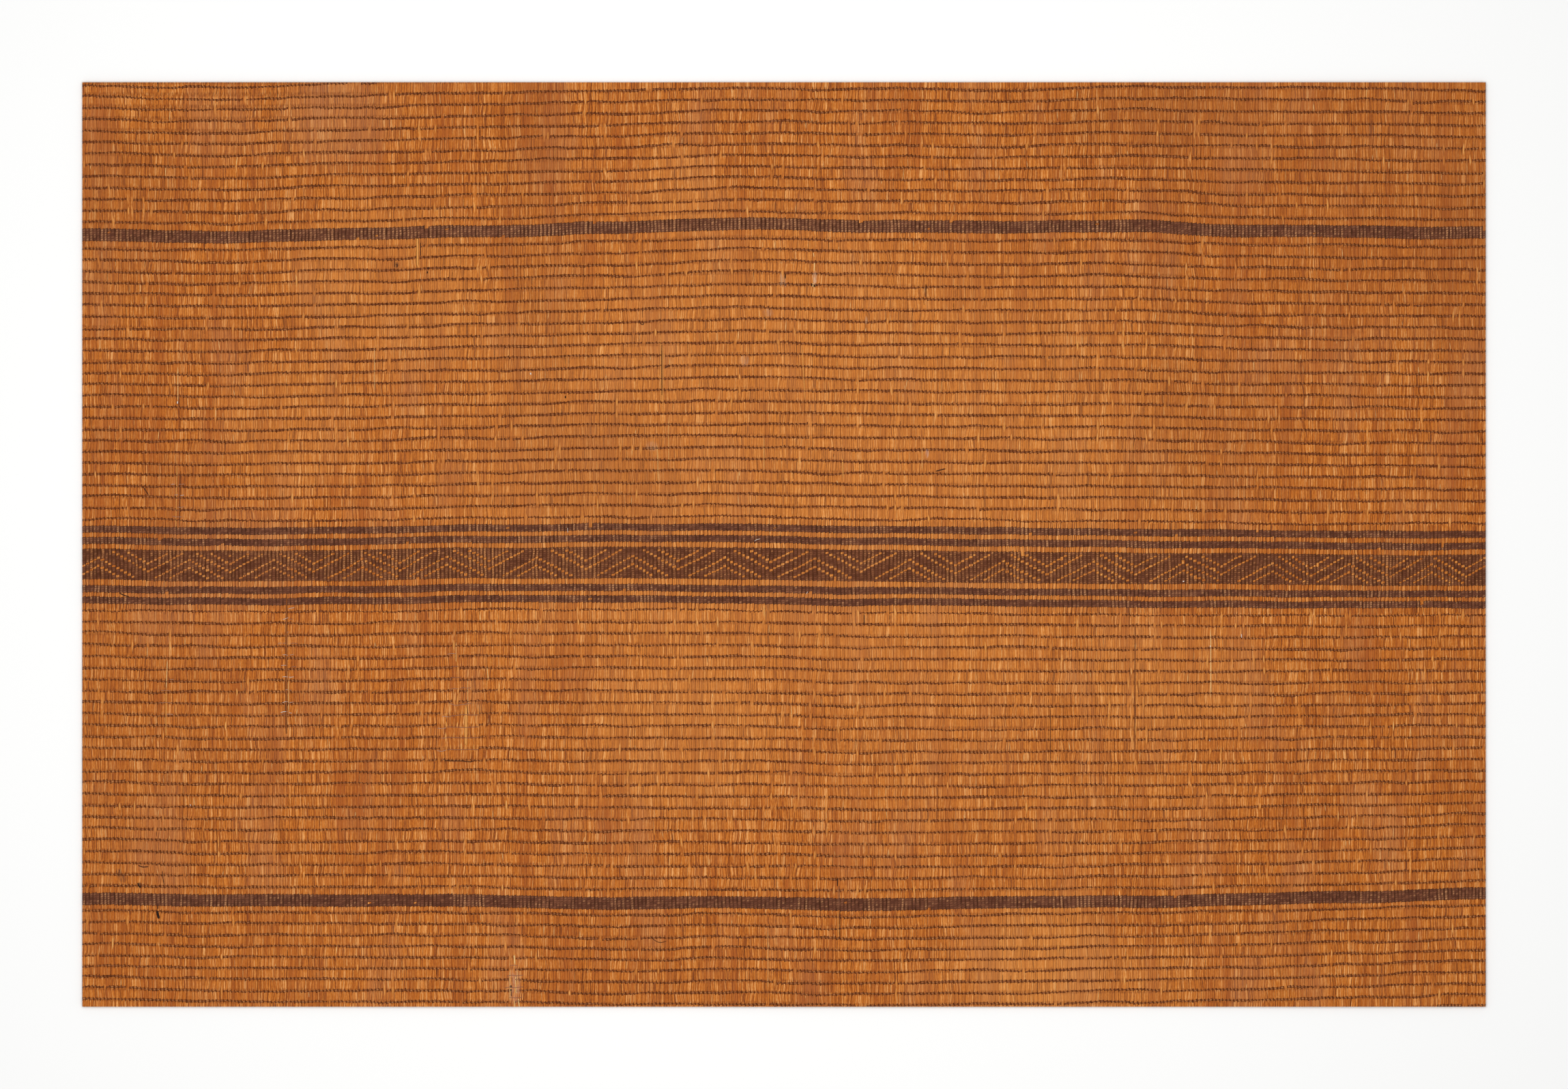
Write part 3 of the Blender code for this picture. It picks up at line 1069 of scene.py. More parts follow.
# %% Build the long splits
SPLIT_RINGS = 10
SPLIT_PROUD = 0.20 * MM


def build_long_splits():
    """The listed splits as one piece."""
    path, half_width, tone = listed(PALE_SPLITS, SPLIT_RINGS)
    taper = np.clip(np.sin(np.linspace(0, np.pi, SPLIT_RINGS)) * 2.2 + 0.3, 0, 1)
    middle = path.mean(1, keepdims=True)
    crown = np.maximum(mat_top(path[..., 0], path[..., 1]), mat_top(middle[..., 0], middle[..., 1]))
    return laid_strips("long_splits", path, half_width * taper, crown + SPLIT_PROUD * taper, 0.12 * MM, tone)


long_splits = build_long_splits()
print("long splits:", triangles(long_splits), "triangles")

# %% [markdown]
# In the gaps lie dark fibres, and in a few places the mat has a slit or a small hole. The shade in the
# gaps, slits and holes is painted too: from above all of them are dark marks, so they are strips again,
# from brown to black.

# %% Dark fibres, and painted shade of slits and holes
DARK_MARKS = (  # darkness, half width and path, in millimetres
    (0.15, 0.35, 250.1, -57.1, 250.1, -88.7, 249.9, -147.0),
    (0.35, 0.22, 189.8, -117.9, 189.8, -154.3),
    (0.60, 0.25, -446.0, 329.1, -446.0, 322.0),
    (0.70, 0.30, 57.1, -49.8, 57.1, -57.1),
    (1.00, 0.35, 1.0, 192.7, 0.9, 189.5),
    (0.50, 0.25, -258.9, 215.1, -258.9, 205.4),
    (0.85, 0.30, 38.2, -237.4, 38.0, -243.5),
    (0.60, 0.28, 39.8, -260.5, 39.8, -280.5),
    (1.00, 0.45, -194.5, -314.1, -194.5, -315.9),
    (1.00, 0.45, -194.5, -316.7, -194.5, -318.2),
    (0.70, 0.25, -194.4, -318.2, -194.3, -322.0),
    (1.00, 0.50, 21.6, 184.8, 21.6, 183.6),
    (0.80, 0.30, 19.6, 185.7, 19.6, 184.0),
    (0.90, 0.35, 23.2, 185.2, 23.6, 184.3),
    (1.00, 0.35, 1.2, 185.3, 1.2, 184.5),
    (0.60, 0.25, -277.3, 202.5, -277.2, 197.6),
    (0.70, 0.45, -253.9, 197.6, -253.5, 195.9),
    (1.00, 0.35, -254.0, 194.6, -254.2, 193.1),
    (0.30, 0.30, -430.2, 52.3, -430.7, 13.4),
    (0.55, 0.22, -442.8, -232.5, -442.7, -237.0, -441.6, -242.6),
    (0.80, 0.50, -460.3, -241.1, -459.9, -243.3, -458.2, -244.3),
    (0.85, 0.85, -446.7, -261.1, -446.2, -263.7, -445.3, -266.6),
    (0.45, 0.40, -446.1, -256.2, -446.2, -259.8),
    (0.50, 0.35, -460.1, -228.7, -456.7, -229.9, -452.8, -229.5),
    (0.70, 0.35, -473.7, -34.5, -470.3, -36.2, -466.4, -37.4),
    (0.60, 0.30, -456.7, 41.1, -454.7, 38.2, -452.8, 35.2),
    (0.55, 0.20, -95.2, -278.9, -93.9, -280.5, -92.2, -282.1, -89.8, -283.4, -87.1, -283.7,
                  -83.9, -282.6),
    (0.50, 0.18, -264.4, 219.5, -263.5, 220.2, -262.8, 218.7, -263.5, 217.0, -264.6, 217.7),
    (0.45, 0.50, -276.3, 200.0, -275.4, 198.8, -275.9, 197.6),
    (0.60, 0.30, -241.8, -154.1, -236.0, -154.2, -230.2, -154.1, -223.4, -155.0, -220.1, -153.9),
    (0.00, 0.70, -354.4, -36.2, -354.5, -74.1, -354.6, -134.9),
    (0.45, 0.22, -87.1, 142.2, -87.0, 106.4),
    (0.60, 0.24, 101.1, 185.5, 101.1, 176.2),
    (0.50, 0.28, -103.0, 159.9, -102.4, 157.3, -100.4, 156.4, -99.6, 158.8),
    (0.55, 0.34, -84.8, 125.8, -81.8, 127.4),
    (0.60, 0.38, 108.1, 52.2, 115.1, 54.0),
    (1.00, 0.42, -155.8, 105.9, -155.8, 104.2),
    (0.35, 0.45, -354.8, -111.1, -354.9, -115.9, -354.8, -119.8),
)
print(len(DARK_MARKS), "dark marks")

# %% [markdown]
# The listed marks lie above all that they cross. Six hundred short dark strips more, painted shade in
# the gaps between the stalks, are drawn at random, a little over those gaps.

# %% Build the painted gap shade and the marks
GAP_SHADOW_STRIPS = 600
MARK_RINGS = 8
MARK_TAPER = (0.5, 1, 1, 1, 1, 1, 1, 0.5)
MARK_TOP = 3.08 * MM


def build_gap_shadow_strips():
    """Short dark strips at random places in the gaps between stalks: painted shade."""
    chance = np.random.default_rng(121)
    stalk, low, high = open_spaces()
    pick = chance.integers(0, len(stalk), GAP_SHADOW_STRIPS)
    x = np.repeat(EDGES[stalk[pick]][:, None], 3, axis=1) + 0.10 * MM * chance.uniform(-1, 1, (GAP_SHADOW_STRIPS, 3))
    middle = low[pick] + (high - low)[pick] * chance.uniform(0.1, 0.9, GAP_SHADOW_STRIPS)
    reach = chance.uniform(1.0, 4.5, GAP_SHADOW_STRIPS) * MM
    y = middle[:, None] + reach[:, None] * (-1.0, 0.0, 1.0)
    x = x + lean(x, y) + pull(x, y)
    half_width = chance.uniform(0.07, 0.18, (GAP_SHADOW_STRIPS, 1)) * MM * (0.5, 1.0, 0.5)
    crown = mat_top(x, y) + 0.25 * MM
    tone = chance.uniform(0.1, 0.75, GAP_SHADOW_STRIPS)
    return laid_strips("gap_shadow_strips", np.stack([x, y], -1), half_width, crown, 0.05 * MM, tone)


def build_dark_marks():
    """The listed marks, which lie on top of all they cross."""
    path, half_width, tone = listed(DARK_MARKS, MARK_RINGS)
    crown = MARK_TOP + swell(path[..., 0])
    return laid_strips("dark_marks", path, half_width * MARK_TAPER, crown, 0.15 * MM, tone)


# painted shade: dark strips in the gaps; the marks are dark fibres and painted shade of slits and holes
gap_shadow_strips = build_gap_shadow_strips()
dark_marks = build_dark_marks()
print("dark fibres and marks:", triangles(gap_shadow_strips) + triangles(dark_marks), "triangles")

# %% [markdown]
# The mat was mended by hand in a few places: short stitches of thin pale thread over a worn stalk, and
# threads that take the place of a lost thong. They arch over the stalks from gap to gap. Some lint
# hangs on the mat as well, in the same thread colour but whiter.

# %% Mending threads and lint
STITCHES = (  # tone, half width and path, in millimetres
    (0.75, 0.22, -353.2, -45.9, -351.2, -45.3, -349.0, -45.0),
    (0.80, 0.22, -357.3, -53.5, -355.6, -53.0, -353.2, -52.1),
    (0.40, 0.20, -352.7, -53.3, -350.0, -53.1),
    (0.50, 0.20, -354.5, -62.7, -352.6, -62.1),
    (0.60, 0.20, -360.5, -70.9, -359.2, -70.0, -358.0, -70.5),
    (0.50, 0.20, -357.3, -70.3, -354.5, -70.4),
    (0.30, 0.20, -351.7, -70.5, -349.3, -70.2, -346.5, -70.8),
    (0.70, 0.22, -357.3, -78.7, -355.6, -78.5, -353.5, -78.9),
    (0.60, 0.20, -352.2, -78.8, -349.4, -78.4),
    (0.70, 0.22, -358.3, -86.3, -356.1, -86.0, -353.8, -86.3),
    (0.35, 0.20, -351.0, -87.5, -349.3, -86.8, -347.8, -87.3),
    (0.85, 0.22, -357.3, -94.4, -355.6, -94.1, -353.5, -94.4),
    (0.85, 0.22, -352.9, -94.4, -351.2, -94.6, -349.4, -94.2),
    (0.60, 0.20, -355.4, -103.6, -353.5, -103.2),
    (0.40, 0.20, -352.2, -104.0, -350.6, -103.6),
    (0.80, 0.22, -357.3, -112.8, -355.6, -112.0, -353.5, -112.1),
    (0.60, 0.20, -352.6, -112.6, -349.4, -112.2),
    (0.90, 0.28, -358.6, -119.8, -356.6, -119.1, -353.8, -118.9),
    (0.70, 0.22, -352.9, -119.8, -350.6, -120.2),
    (0.30, 0.20, -358.5, -121.5, -356.6, -120.6, -354.6, -121.0),
    (0.55, 0.20, -437.8, -96.1, -434.9, -96.1),
    (0.45, 0.20, -443.8, -104.1, -440.2, -103.8, -437.0, -104.3),
    (0.35, 0.20, -445.5, -112.8, -440.5, -112.5, -435.8, -113.0),
    (0.55, 0.22, -440.2, -121.1, -437.5, -120.8, -435.3, -121.2),
    (0.55, 0.20, -239.9, -78.3, -237.5, -77.5, -233.7, -77.8),
    (0.20, 0.20, -236.6, -87.1, -232.2, -86.8),
    (0.20, 0.20, -237.5, -94.7, -234.1, -94.9, -230.2, -94.6),
    (0.40, 0.20, -238.4, -103.3, -235.5, -102.5, -232.2, -102.9),
    (0.30, 0.20, -231.0, -102.8, -228.2, -101.6, -226.3, -102.6, -223.1, -101.8),
    (0.45, 0.22, -238.7, -112.9, -236.5, -113.9, -234.1, -114.6, -228.2, -114.0, -223.1, -113.1),
    (0.60, 0.22, -243.7, -122.7, -241.8, -122.4, -239.0, -122.9),
    (0.25, 0.22, -239.0, -122.5, -234.1, -121.8, -227.7, -121.1, -223.4, -121.6, -217.8, -121.4),
    (0.55, 0.22, -246.9, -130.8, -243.8, -131.2, -240.8, -130.6),
    (0.25, 0.22, -239.9, -129.9, -233.1, -130.2, -226.3, -130.5, -217.8, -129.8),
    (0.50, 0.22, -244.3, -137.8, -242.3, -138.0, -240.1, -137.5),
    (0.20, 0.22, -239.9, -137.2, -232.1, -137.6, -224.3, -137.8, -217.2, -137.3),
    (0.60, 0.22, -247.2, -146.8, -243.8, -147.5, -240.8, -146.3),
    (0.20, 0.22, -239.9, -145.9, -233.1, -146.2, -223.4, -146.0, -217.8, -146.2),
    (0.35, 0.20, -195.1, -300.0, -192.3, -299.7, -189.5, -300.2),
    (0.30, 0.20, -197.3, -307.4, -194.2, -306.8, -190.8, -307.3, -185.8, -306.8),
    (0.30, 0.20, -198.8, -316.0, -195.2, -315.2, -191.8, -315.9, -185.8, -315.2),
    (0.30, 0.20, -195.7, -322.7, -191.3, -323.0, -186.4, -322.5),
    (0.70, 0.20, -436.9, 42.8, -434.3, 43.1),
    (0.50, 0.20, -431.4, 42.8, -427.2, 43.1),
    (0.60, 0.20, -434.3, 35.3, -431.9, 35.5),
    (0.80, 0.22, -430.1, 34.9, -427.6, 35.2),
    (0.50, 0.20, -432.2, 26.8, -430.0, 26.4, -427.6, 27.0),
    (0.50, 0.20, -435.6, 20.0, -432.4, 19.6, -428.9, 19.7),
    (1.00, 0.45, -432.1, 102.0, -432.2, 100.4),
    (1.00, 0.50, -180.6, 122.4, -180.4, 121.0),
    (0.10, 0.22, 39.2, -243.5, 39.3, -252.0, 39.3, -260.5),
    (1.00, 0.20, 16.0, -35.2, 17.0, -33.3),
    (1.00, 0.20, -21.1, 2.4, -19.2, 3.6, -16.8, 4.1),
    (1.00, 0.45, 284.1, -26.5, 285.3, -26.0),
    (0.80, 0.22, -154.3, 11.9, -154.1, 8.5),
    (0.90, 0.30, -423.3, -185.2, -422.6, -186.1),
    (0.90, 0.30, 325.9, -63.9, 326.1, -66.4),
    (0.90, 0.30, 303.6, -72.0, 303.8, -73.2),
    (0.90, 0.26, 303.1, -139.1, 303.4, -140.2),
)
print(len(STITCHES), "threads")

# %% [markdown]
# A thread starts in one gap and ends in another, so it is lowest at its ends and highest in its middle.

# %% Build the threads
THREAD_ENDS = 2.95 * MM
THREAD_ARCH = 0.25 * MM


def build_stitches():
    """The threads, each a little higher in its middle than at its ends."""
    path, half_width, tone = listed(STITCHES, MARK_RINGS)
    arch = THREAD_ARCH * np.sin(np.linspace(0, np.pi, MARK_RINGS))
    crown = THREAD_ENDS + swell(path[..., 0]) + arch
    return laid_strips("mending_threads", path, half_width, crown, 0.25 * MM, tone)


stitches = build_stitches()
print("the threads have", triangles(stitches), "triangles")

# %% [markdown]
# ## Finishes
# A finish is a small net of nodes. Here the output of a node is wrapped in a class of its own, and
# arithmetic on it adds the next node, so that the recipe of a colour reads like a sum.

# %% Outputs that can be reckoned with
class Signal:
    """One output of a node. What is done with it adds a node to the same tree."""

    def __init__(self, tree, socket):
        """The output's tree and its socket."""
        self.tree = tree
        self.socket = socket

    def step(self, operation, other=0.0, third=0.0):
        """One step of arithmetic."""
        return new_node(self.tree, "Math", {0: self, 1: other, 2: third}, operation=operation)

    def __add__(self, other):
        """The sum of two signals."""
        return self.step("ADD", other)

    def __sub__(self, other):
        """What is left of this after another."""
        return self.step("SUBTRACT", other)

    def __mul__(self, other):
        """The product of two signals."""
        return self.step("MULTIPLY", other)

    def __abs__(self):
        """The size of this without its sign."""
        return self.step("ABSOLUTE")

    def scaled(self, by, plus):
        """This times one value, plus another."""
        return self.step("MULTIPLY_ADD", by, plus)

    def vector(self, operation, other, output=0):
        """One step of arithmetic on places."""
        return new_node(self.tree, "VectorMath", {0: self, 1: other}, output, operation=operation)


def plug(value, socket):
    """A signal or a plain value, put into the input of a node."""
    if isinstance(value, Signal):
        value.tree.links.new(value.socket, socket)
    else:
        socket.default_value = value


def new_node(tree, kind, inputs=(), output=0, **settings):
    """One node with its settings, and its inputs by name or number. Gives one of its outputs."""
    node = tree.nodes.new("ShaderNode" + kind)
    for key, value in settings.items():
        setattr(node, key, value)
    for key, value in dict(inputs).items():
        plug(value, node.inputs[key])
    return Signal(tree, node.outputs[output])


def read(tree, name, output="Fac"):
    """An attribute of the mesh."""
    return new_node(tree, "Attribute", (), output, attribute_name=name)


print("a signal also knows", ", ".join(key for key in vars(Signal) if not key.startswith("_")))

# %% [markdown]
# Noise gives streaks when its places are stretched: squeezed along the stalk and drawn out across it.
# A fade turns one range of numbers into another, a ramp looks a colour up on a scale, a laid colour
# covers part of another one, and a bump gives relief too fine to model.

# %% Noise, fades and colours
def noise(places, stretch, detail=2.0, roughness=0.5):
    """Cloudy noise over stretched places, from 0 to 1."""
    spread = places.vector("MULTIPLY", stretch)
    inputs = {"Vector": spread, "Scale": 1.0, "Detail": detail, "Roughness": roughness}
    return new_node(places.tree, "TexNoise", inputs, "Fac")


def fade(value, low, high, to_low=0.0, to_high=1.0):
    """A value turned smoothly from one range into another, and held at its ends."""
    inputs = {"Value": value, "From Min": low, "From Max": high, "To Min": to_low, "To Max": to_high}
    return new_node(value.tree, "MapRange", inputs, interpolation_type="SMOOTHSTEP")


def laid(over, colour, share):
    """A colour with a share of a second one, given as a screen colour, laid over it."""
    inputs = {0: share, 6: colour, 7: paint(*over)}
    return new_node(colour.tree, "Mix", inputs, 2, data_type="RGBA", blend_type="MIX", clamp_factor=True)


def ramp(value, stops):
    """A colour looked up on a scale of screen colours."""
    colour = new_node(value.tree, "ValToRGB", {"Fac": value})
    scale = colour.socket.node.color_ramp
    while len(scale.elements) < len(stops):
        scale.elements.new(0.5)
    for element, (place, shade) in zip(scale.elements, stops):
        element.position = place
        element.color = paint(*shade)
    return colour


def bump(height, distance):
    """Fine relief from a height, in metres."""
    return new_node(height.tree, "Bump", {"Height": height, "Strength": 1.0, "Distance": distance})


print("helpers:", ", ".join(helper.__name__ for helper in (noise, fade, laid, ramp, bump)))

# %% [markdown]
# Stains soak into stalk and thong alike, so both finishes call this helper. A patch is an ellipse on
# the mat, given in millimetres, with a soft rim. Noise breaks the small ones up into streaks.

# %% Stains and scuffs
STAINS = (  # x, y, reach across, reach along, strength, colour
    (21.9, 190.0, 1.7, 5.6, 0.80, (206, 172, 142)),
    (-1.8, 188.8, 2.0, 6.0, 0.60, (178, 138, 105)),
    (0.9, 187.4, 1.2, 4.5, 0.60, (178, 138, 105)),
    (-192.0, -314.2, 5.0, 15.0, 0.70, (196, 140, 104)),
    (-474.2, -234.1, 2.8, 3.4, 0.80, (88, 48, 30)),
    (-471.0, -238.0, 3.2, 3.4, 0.70, (88, 48, 30)),
    (-459.4, -242.8, 2.4, 2.6, 0.80, (70, 36, 22)),
    (-275.9, 198.8, 2.2, 3.0, 0.70, (96, 58, 32)),
    (102.0, 64.8, 1.2, 3.8, 0.75, (200, 160, 138)),
    (58.5, 159.9, 1.2, 3.2, 0.60, (196, 150, 112)),
    (-11.2, 165.3, 4.0, 3.4, 0.55, (188, 140, 104)),
    (-28.3, 131.2, 4.0, 4.6, 0.50, (188, 140, 104)),
    (-94.0, 70.0, 5.0, 4.0, 0.45, (188, 140, 104)),
)


def stained(colour, table, streaked=0.85):
    """A colour with soft patches of other colours over it, broken up into streaks."""
    place = new_node(colour.tree, "TexCoord", (), "Object")
    streak = noise(place, (1100.0, 130.0, 1.0), 2.0, 0.6)
    kept = fade(streak, 0.42, 0.56, 1.0 - streaked, 1.0)
    for x, y, reach_x, reach_y, strength, patch in table:
        away = place.vector("SUBTRACT", (x * MM, y * MM, 0))
        away = away.vector("MULTIPLY", (1 / (reach_x * MM), 1 / (reach_y * MM), 0))
        away = away.vector("LENGTH", (0, 0, 0), "Value")
        colour = laid(patch, colour, fade(away, 0.5, 1.1, strength, 0.0) * kept)
    return colour


print(len(STAINS), "stains")

# %% [markdown]
# The middle of the mat is painted paler than its ends, a painted pool of the light from above, and other
# zones are faded, dusty or darkened by use. From a step away they are the first thing one sees, so they
# are listed like the stains.

# %% Faded and darker zones
ZONES_AND_LIGHT_POOL = (  # x, y, reach across, reach along, strength, colour
    # a painted pool of light: the middle of the mat painted paler
    (20, 60, 330, 210, 0.22, (222, 146, 72)),
    (184, -290, 60, 60, 0.25, (222, 146, 72)),
    (430, 260, 170, 120, 0.25, (160, 88, 38)),
    (-470, -120, 90, 190, 0.16, (160, 88, 38)),
    (-175, 200, 34, 190, 0.20, (150, 82, 34)),
    (275, 240, 28, 130, 0.18, (150, 82, 34)),
    (485, 190, 46, 110, 0.22, (150, 82, 34)),
    (170, -150, 180, 90, 0.10, (222, 146, 72)),
    (-320, 302, 50, 40, 0.25, (184, 128, 86)),
    (-392, -10, 60, 50, 0.18, (184, 128, 86)),
    (-285, 185, 90, 75, 0.22, (222, 146, 72)),
    (-350, 85, 60, 60, 0.18, (222, 146, 72)),
    (-75, 255, 35, 40, 0.22, (222, 146, 72)),
    (-75, -140, 90, 65, 0.22, (222, 146, 72)),
    (280, -95, 80, 50, 0.20, (222, 146, 72)),
    (190, -310, 120, 40, 0.15, (222, 146, 72)),
    (-470, 235, 55, 75, 0.24, (150, 82, 34)),
    (-430, 30, 40, 45, 0.20, (150, 82, 34)),
    (-125, 45, 60, 65, 0.28, (150, 82, 34)),
    (270, 305, 90, 36, 0.28, (150, 82, 34)),
    (305, 75, 70, 75, 0.20, (150, 82, 34)),
)
print(len(ZONES_AND_LIGHT_POOL), "zones")

# %% [markdown]
# The streaks of the reed are finer than a stalk and about as long as the space between two rows. Laid
# out in metres they would run straight on under the thongs. So they are laid out in counts of stalks
# and rows instead, after the pull of the rows, and lean as the stalks do. The first helper works out
# the same pull as the crossings have. The second makes the count jump near each row.

# %% Counts that follow the pull
STALK_PITCH_MM = 2.66


def pulled(place, rows):
    """The stalk count at a place after the pull of the rows, as the crossings have it."""
    row = rows.step("FLOOR")
    share = rows - row
    x = new_node(place.tree, "SeparateXYZ", {"Vector": place}, "X")
    moved = []
    for number in (row, row + 1.0):
        total = 0.0
        square = number * number
        for reach, length, start in PULLS:
            angle = x.scaled(2 * math.pi / length, square * start)
            total = angle.step("SINE").scaled(reach / MM, total)
        moved.append(total)
    low, high = moved
    between = (high - low).scaled(share, low)
    return between.scaled(-1 / STALK_PITCH_MM, read(place.tree, "stalk_count"))


def held_between_rows(rows):
    """The row count, but slow between two rows and fast near each, so that streaks change there."""
    row = rows.step("FLOOR")
    share = rows - row - 0.5
    return (share * share * share).scaled(4.0, row + 0.5)


print("the finish repeats", len(PULLS), "pulls")

# %% [markdown]
# Dry reed is golden orange with brown and straw streaks. Four noises add up to one level: streaks
# longer than a space between rows, short ones, a tone for each length of stalk, and fine speckles. A
# scale of five colours turns the level into a colour, and soft patches are then made greyer or redder.

# %% Colours of the reed
STALK_COLOURS = (
    (0.14, (112, 54, 14)),
    (0.34, (158, 81, 21)),
    (0.52, (186, 102, 30)),
    (0.70, (204, 122, 47)),
    (0.94, (230, 163, 97)),
)
LEVEL_START, LEVEL_DROP = -0.35, 0.716


def reed_colour(place, grain):
    """The colour of dry reed, and the short streaks that its gloss and relief follow as well."""
    long_streak = noise(grain, (4.2, 0.16, 3.7), 1.0)
    short_streak = noise(grain, (4.4, 1.4, 5.1), 1.0)
    segment = noise(grain, (0.40, 0.40, 9.3), 1.0)
    speckle = noise(place, (1100.0, 420.0, 1.0), 2.0, 0.6)
    level = LEVEL_START
    for part, weight in ((long_streak, 0.70), (short_streak, 1.50), (segment, 0.55), (speckle, 0.50)):
        level = part.scaled(weight, level)
    colour = ramp(level - LEVEL_DROP, STALK_COLOURS)
    grey = noise(place, (26.0, 12.0, 10.0), 2.0, 0.6)
    colour = laid((180, 116, 72), colour, fade(grey, 0.48, 0.74, 0.0, 0.40))
    ruddy = noise(place, (75.0, 8.0, 30.0), 3.0, 0.65)
    return laid((160, 80, 26), colour, fade(ruddy, 0.44, 0.72, 0.0, 0.66)), short_streak


print("reed has", len(STALK_COLOURS), "colours")

# %% [markdown]
# Dark lines part the stalks: painted shade with some dust in some lengths of the gaps, and a few splits
# along the crowns. The painted shade in the gaps is stronger near a row of thong, which presses the
# stalks down. Between the figured stripe and its lines the gaps are dark with painted shade all along,
# and there is no open row, so no painted shade of one.

# %% Gaps, splits and shade
def beside_rows(rows):
    """How near the closest open row is, from 0 to 1, and whether a place is between the stripes."""
    low_row, high_row = row_count(np.array((STRAIGHT["rows_lower"][0], STRAIGHT["rows_upper"][-1])))
    above = fade(rows, low_row - 0.4, low_row + 0.2)
    by_stripes = above * fade(rows, high_row - 0.2, high_row + 0.4, 1.0, 0.0)
    from_middle = abs(rows.step("FRACT") - 0.5)
    return from_middle * by_stripes.scaled(-2.0, 2.0), by_stripes


def painted_gap_shade_and_splits(grain, away, near_row, by_stripes):
    """How dark the painted gap shade and the splits on the crowns are, from the distance to a crown."""
    # painted shade in some lengths of the gaps, with some dust
    painted_gap_shade_share = fade(noise(grain, (0.8, 1.9, 7.7), 1.0), 0.38, 0.68, 0.02, 0.85)
    # painted shade in the gaps near each open row, where the thong pinches the stalks
    painted_gap_shade_share = fade(near_row, 0.60, 0.84, 0.0, 0.50) + by_stripes.scaled(0.55, painted_gap_shade_share)
    gap = fade(away, 0.70, 0.98) * painted_gap_shade_share
    split = fade(noise(grain, (0.8, 1.9, 6.1), 1.0), 0.40, 0.64, 0.02, 0.60)
    return gap.step("MAXIMUM", fade(away, 0.02, 0.26, 1.0, 0.0) * split)


print("the open rows beside the stripes:", row_count(STRAIGHT["rows_lower"][0]), "and",
      row_count(STRAIGHT["rows_upper"][-1]))

# %% [markdown]
# Now the finish of the stalks is put together: the reed, its zones with a painted pool of light in the
# middle, the painted shade beside the rows, the painted shade in the gaps with the splits, and the stains
# on top of all. The short streaks also change the gloss, and raise a relief too fine to model.

# %% Finish of the stalks
# colour of the painted shade beside the rows of thong
PAINTED_ROW_SHADE_COLOUR = (130, 66, 22)
# colour of the painted shade in the gaps and of the splits
GAP_SHADE_AND_SPLIT_COLOUR = (104, 50, 18)


def stalk_finish():
    """Worn reed, laid out in counts of stalks and rows."""
    material, tree, shader = new_finish("worn_reed", 0.5, 0.08)
    place = new_node(tree, "TexCoord", (), "Object")
    rows = read(tree, "row_count")
    stalks = pulled(place, rows)
    number = stalks.step("FLOOR")
    away = abs((stalks - number).scaled(2.0, -1.0))
    grain = new_node(tree, "CombineXYZ", {"X": stalks, "Y": held_between_rows(rows), "Z": number})
    colour, short_streak = reed_colour(place, grain)
    near_row, by_stripes = beside_rows(rows)
    gap_shade_and_split = painted_gap_shade_and_splits(grain, away, near_row, by_stripes)
    # zones of colour, and the painted pool of light in the middle
    colour = stained(colour, ZONES_AND_LIGHT_POOL, streaked=0.0)
    # painted shade on the stalks beside each open row of thong
    colour = laid(PAINTED_ROW_SHADE_COLOUR, colour, fade(near_row, 0.50, 0.80, 0.0, 0.28))
    # painted shade in the gaps between the stalks, and the dark splits on the crowns
    colour = laid(GAP_SHADE_AND_SPLIT_COLOUR, colour, gap_shade_and_split)
    plug(stained(colour, STAINS), shader.inputs["Base Color"])
    plug(fade(short_streak, 0.3, 0.7, 0.42, 0.60), shader.inputs["Roughness"])
    plug(bump(short_streak - gap_shade_and_split, 0.05 * MM), shader.inputs["Normal"])
    return material


reed_stalks.data.materials.append(stalk_finish())
print("the finish of the stalks has", len(reed_stalks.data.materials[0].node_tree.nodes), "nodes")

# %% [markdown]
# The thongs are thin dark brown leather. Their crowns are rubbed paler and a little greyer, most of
# all along the ridge. In the gaps they are painted nearly black, with dust and painted shade. One recipe
# makes three finishes: the single rows have taken up the warm colour of the reed, the figured stripe is
# darker, and the plain stripes and lines are a greyer brown. In the stripes the thongs touch, and a
# painted shade lies as a dark line between two of them. There the feet of each thong stay crisp, because
# shading them round would turn every thong into a heavy bar.

# %% Finish of the thongs
BROWN_STOPS = (0.20, 0.55, 0.90)
THONG_FINISHES = {  # three browns, then rubbed crown, gap dust and painted shade, its range, painted shade between rows
    "warm_thong": (
        ((105, 54, 29), (131, 72, 41), (155, 92, 55)),
        (190, 128, 76), (98, 46, 12), (0.60, 0.84), 0.0,
    ),
    "figured_thong": (
        ((84, 45, 27), (106, 60, 38), (132, 80, 51)),
        (188, 126, 76), (70, 33, 9), (0.50, 0.95), 0.85,
    ),
    "grey_thong": (
        ((83, 45, 30), (104, 60, 41), (131, 81, 55)),
        (182, 128, 86), (64, 31, 13), (0.30, 0.95), 0.85,
    ),
}


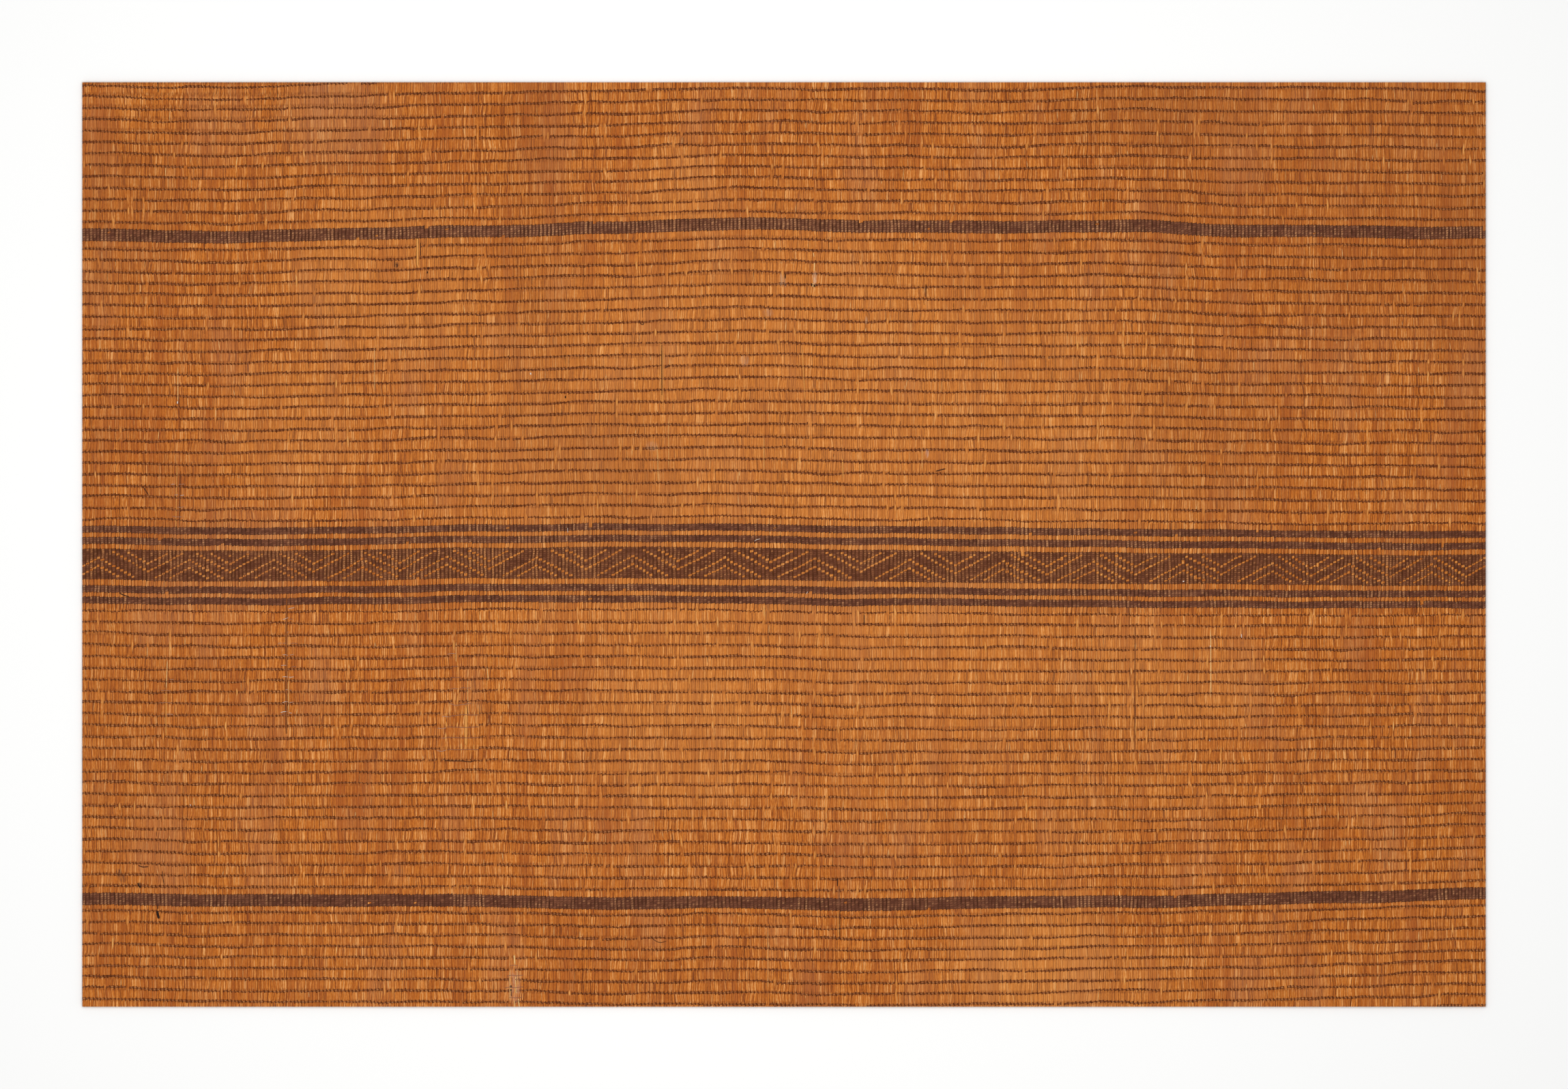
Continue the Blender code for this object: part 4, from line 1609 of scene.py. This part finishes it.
def thong_finish(name, browns, rubbed_brown, thong_dust_and_shade_brown, thong_dust_and_shade_range, painted_shade_between_rows):
    """A finish for thongs: browns, a rubbed crown, dust and painted shade in gaps, painted shade between
    rows.
    """
    material, tree, shader = new_finish(name, 0.6, 0.06)
    grain = read(tree, "grain", "Vector")
    away = abs(read(tree, "across"))
    ridge = read(tree, "ridge")
    speck = noise(grain, (2.0, 2.4, 1.0), 3.0, 0.6)
    patch = noise(grain, (0.05, 0.10, 0.1), 2.0)
    brown = ramp(read(tree, "tone").scaled(0.4, patch * 0.7), tuple(zip(BROWN_STOPS, browns)))
    pale = read(tree, "wear") * fade(speck, 0.30, 0.70, 0.3, 1.5)
    pale = pale * fade(away, 0.20, 0.72, 1.0, 0.0) * fade(ridge, 0.1, 0.9, 0.65, 1.0)
    # dust and painted shade in the gaps, where the thong dives between two stalks
    thong_dust_and_shade = fade(noise(grain, (0.45, 0.12, 0.0), 1.0), 0.36, 0.64, *thong_dust_and_shade_range)
    # painted shade at the feet of a thong, where two thongs of a stripe touch
    low = fade(ridge, 0.22, 0.52, 1.0, 0.0) * fade(speck, 0.30, 0.62, 0.25 * painted_shade_between_rows, painted_shade_between_rows)
    # the darker of the gap dust and shade and the painted shade between rows
    dark = (fade(away, 0.46, 0.82) * thong_dust_and_shade).step("MAXIMUM", low)
    colour = laid(thong_dust_and_shade_brown, laid(rubbed_brown, brown, pale), dark)
    plug(stained(colour, STAINS), shader.inputs["Base Color"])
    plug(fade(speck, 0.3, 0.7, 0.50, 0.70), shader.inputs["Roughness"])
    plug(bump(speck, 0.03 * MM), shader.inputs["Normal"])
    return material


thong_finishes = {name: thong_finish(name, *recipe) for name, recipe in THONG_FINISHES.items()}
for piece in [*row_pieces.values(), undersides]:
    piece.data.materials.append(thong_finishes["warm_thong"])
for name, piece in stripe_pieces.items():
    piece.data.materials.append(thong_finishes["figured_thong" if name == "stripe_figured" else "grey_thong"])
    piece.data.set_sharp_from_angle(angle=SHARP)
print("finishes of the thongs:", ", ".join(thong_finishes))

# %% [markdown]
# The strips have three finishes: split reed from orange to cream, dark fibre and painted shade from
# brown to black, and mending thread from mauve to white. All of them look their colour up by the tone of
# the strip, and fine noise along the strip keeps it from being flat.

# %% Finishes of the strips
STRIP_FINISHES = {  # the pieces, stretch of the noise, roughness, scale of colours from tone 0 to tone 1
    "split_reed": ((slivers, floats, long_splits), (4.0, 0.2, 1.0), 0.5, (
        (0.0, (204, 122, 48)), (0.5, (226, 154, 76)), (1.0, (248, 208, 142)))),
    # dark fibres and painted shade, from brown to black
    "dark_fibre": ((gap_shadow_strips, dark_marks), (3.0, 1.0, 1.0), 0.8, (
        (0.0, (146, 80, 34)), (0.4, (92, 50, 28)), (0.8, (48, 26, 16)), (1.0, (12, 7, 5)))),
    "pale_thread": ((stitches,), (3.0, 3.0, 1.0), 0.9, (
        (0.0, (140, 84, 62)), (0.5, (186, 134, 104)), (1.0, (240, 226, 212)))),
}


def strip_finish(name, stretch, roughness, stops):
    """A finish for strips, whose colour follows their tone."""
    material, tree, shader = new_finish(name, roughness, 0.20)
    streak = noise(read(tree, "grain", "Vector"), stretch, 2.0, 0.6)
    level = streak.scaled(0.5, read(tree, "tone")) - 0.25
    plug(ramp(level, stops), shader.inputs["Base Color"])
    plug(bump(streak, 0.04 * MM), shader.inputs["Normal"])
    return material


for name, (pieces, *recipe) in STRIP_FINISHES.items():
    finish = strip_finish(name, *recipe)
    for piece in pieces:
        piece.data.materials.append(finish)
print("finishes of the strips:", ", ".join(STRIP_FINISHES))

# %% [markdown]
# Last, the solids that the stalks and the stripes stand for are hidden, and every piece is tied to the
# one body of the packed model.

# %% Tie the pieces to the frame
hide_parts("stalk_sheet")
for name, piece in stripe_pieces.items():
    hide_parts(name)
of_reed = [reed_stalks, slivers, floats, long_splits]
of_thong = [*row_pieces.values(), *stripe_pieces.values(), undersides, gap_shadow_strips, dark_marks, stitches]
everything = [*of_reed, *of_thong]
for piece in everything:
    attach(piece, "root")
print(len(everything), "pieces,", sum(triangles(piece) for piece in everything), "triangles")

# %% [markdown]
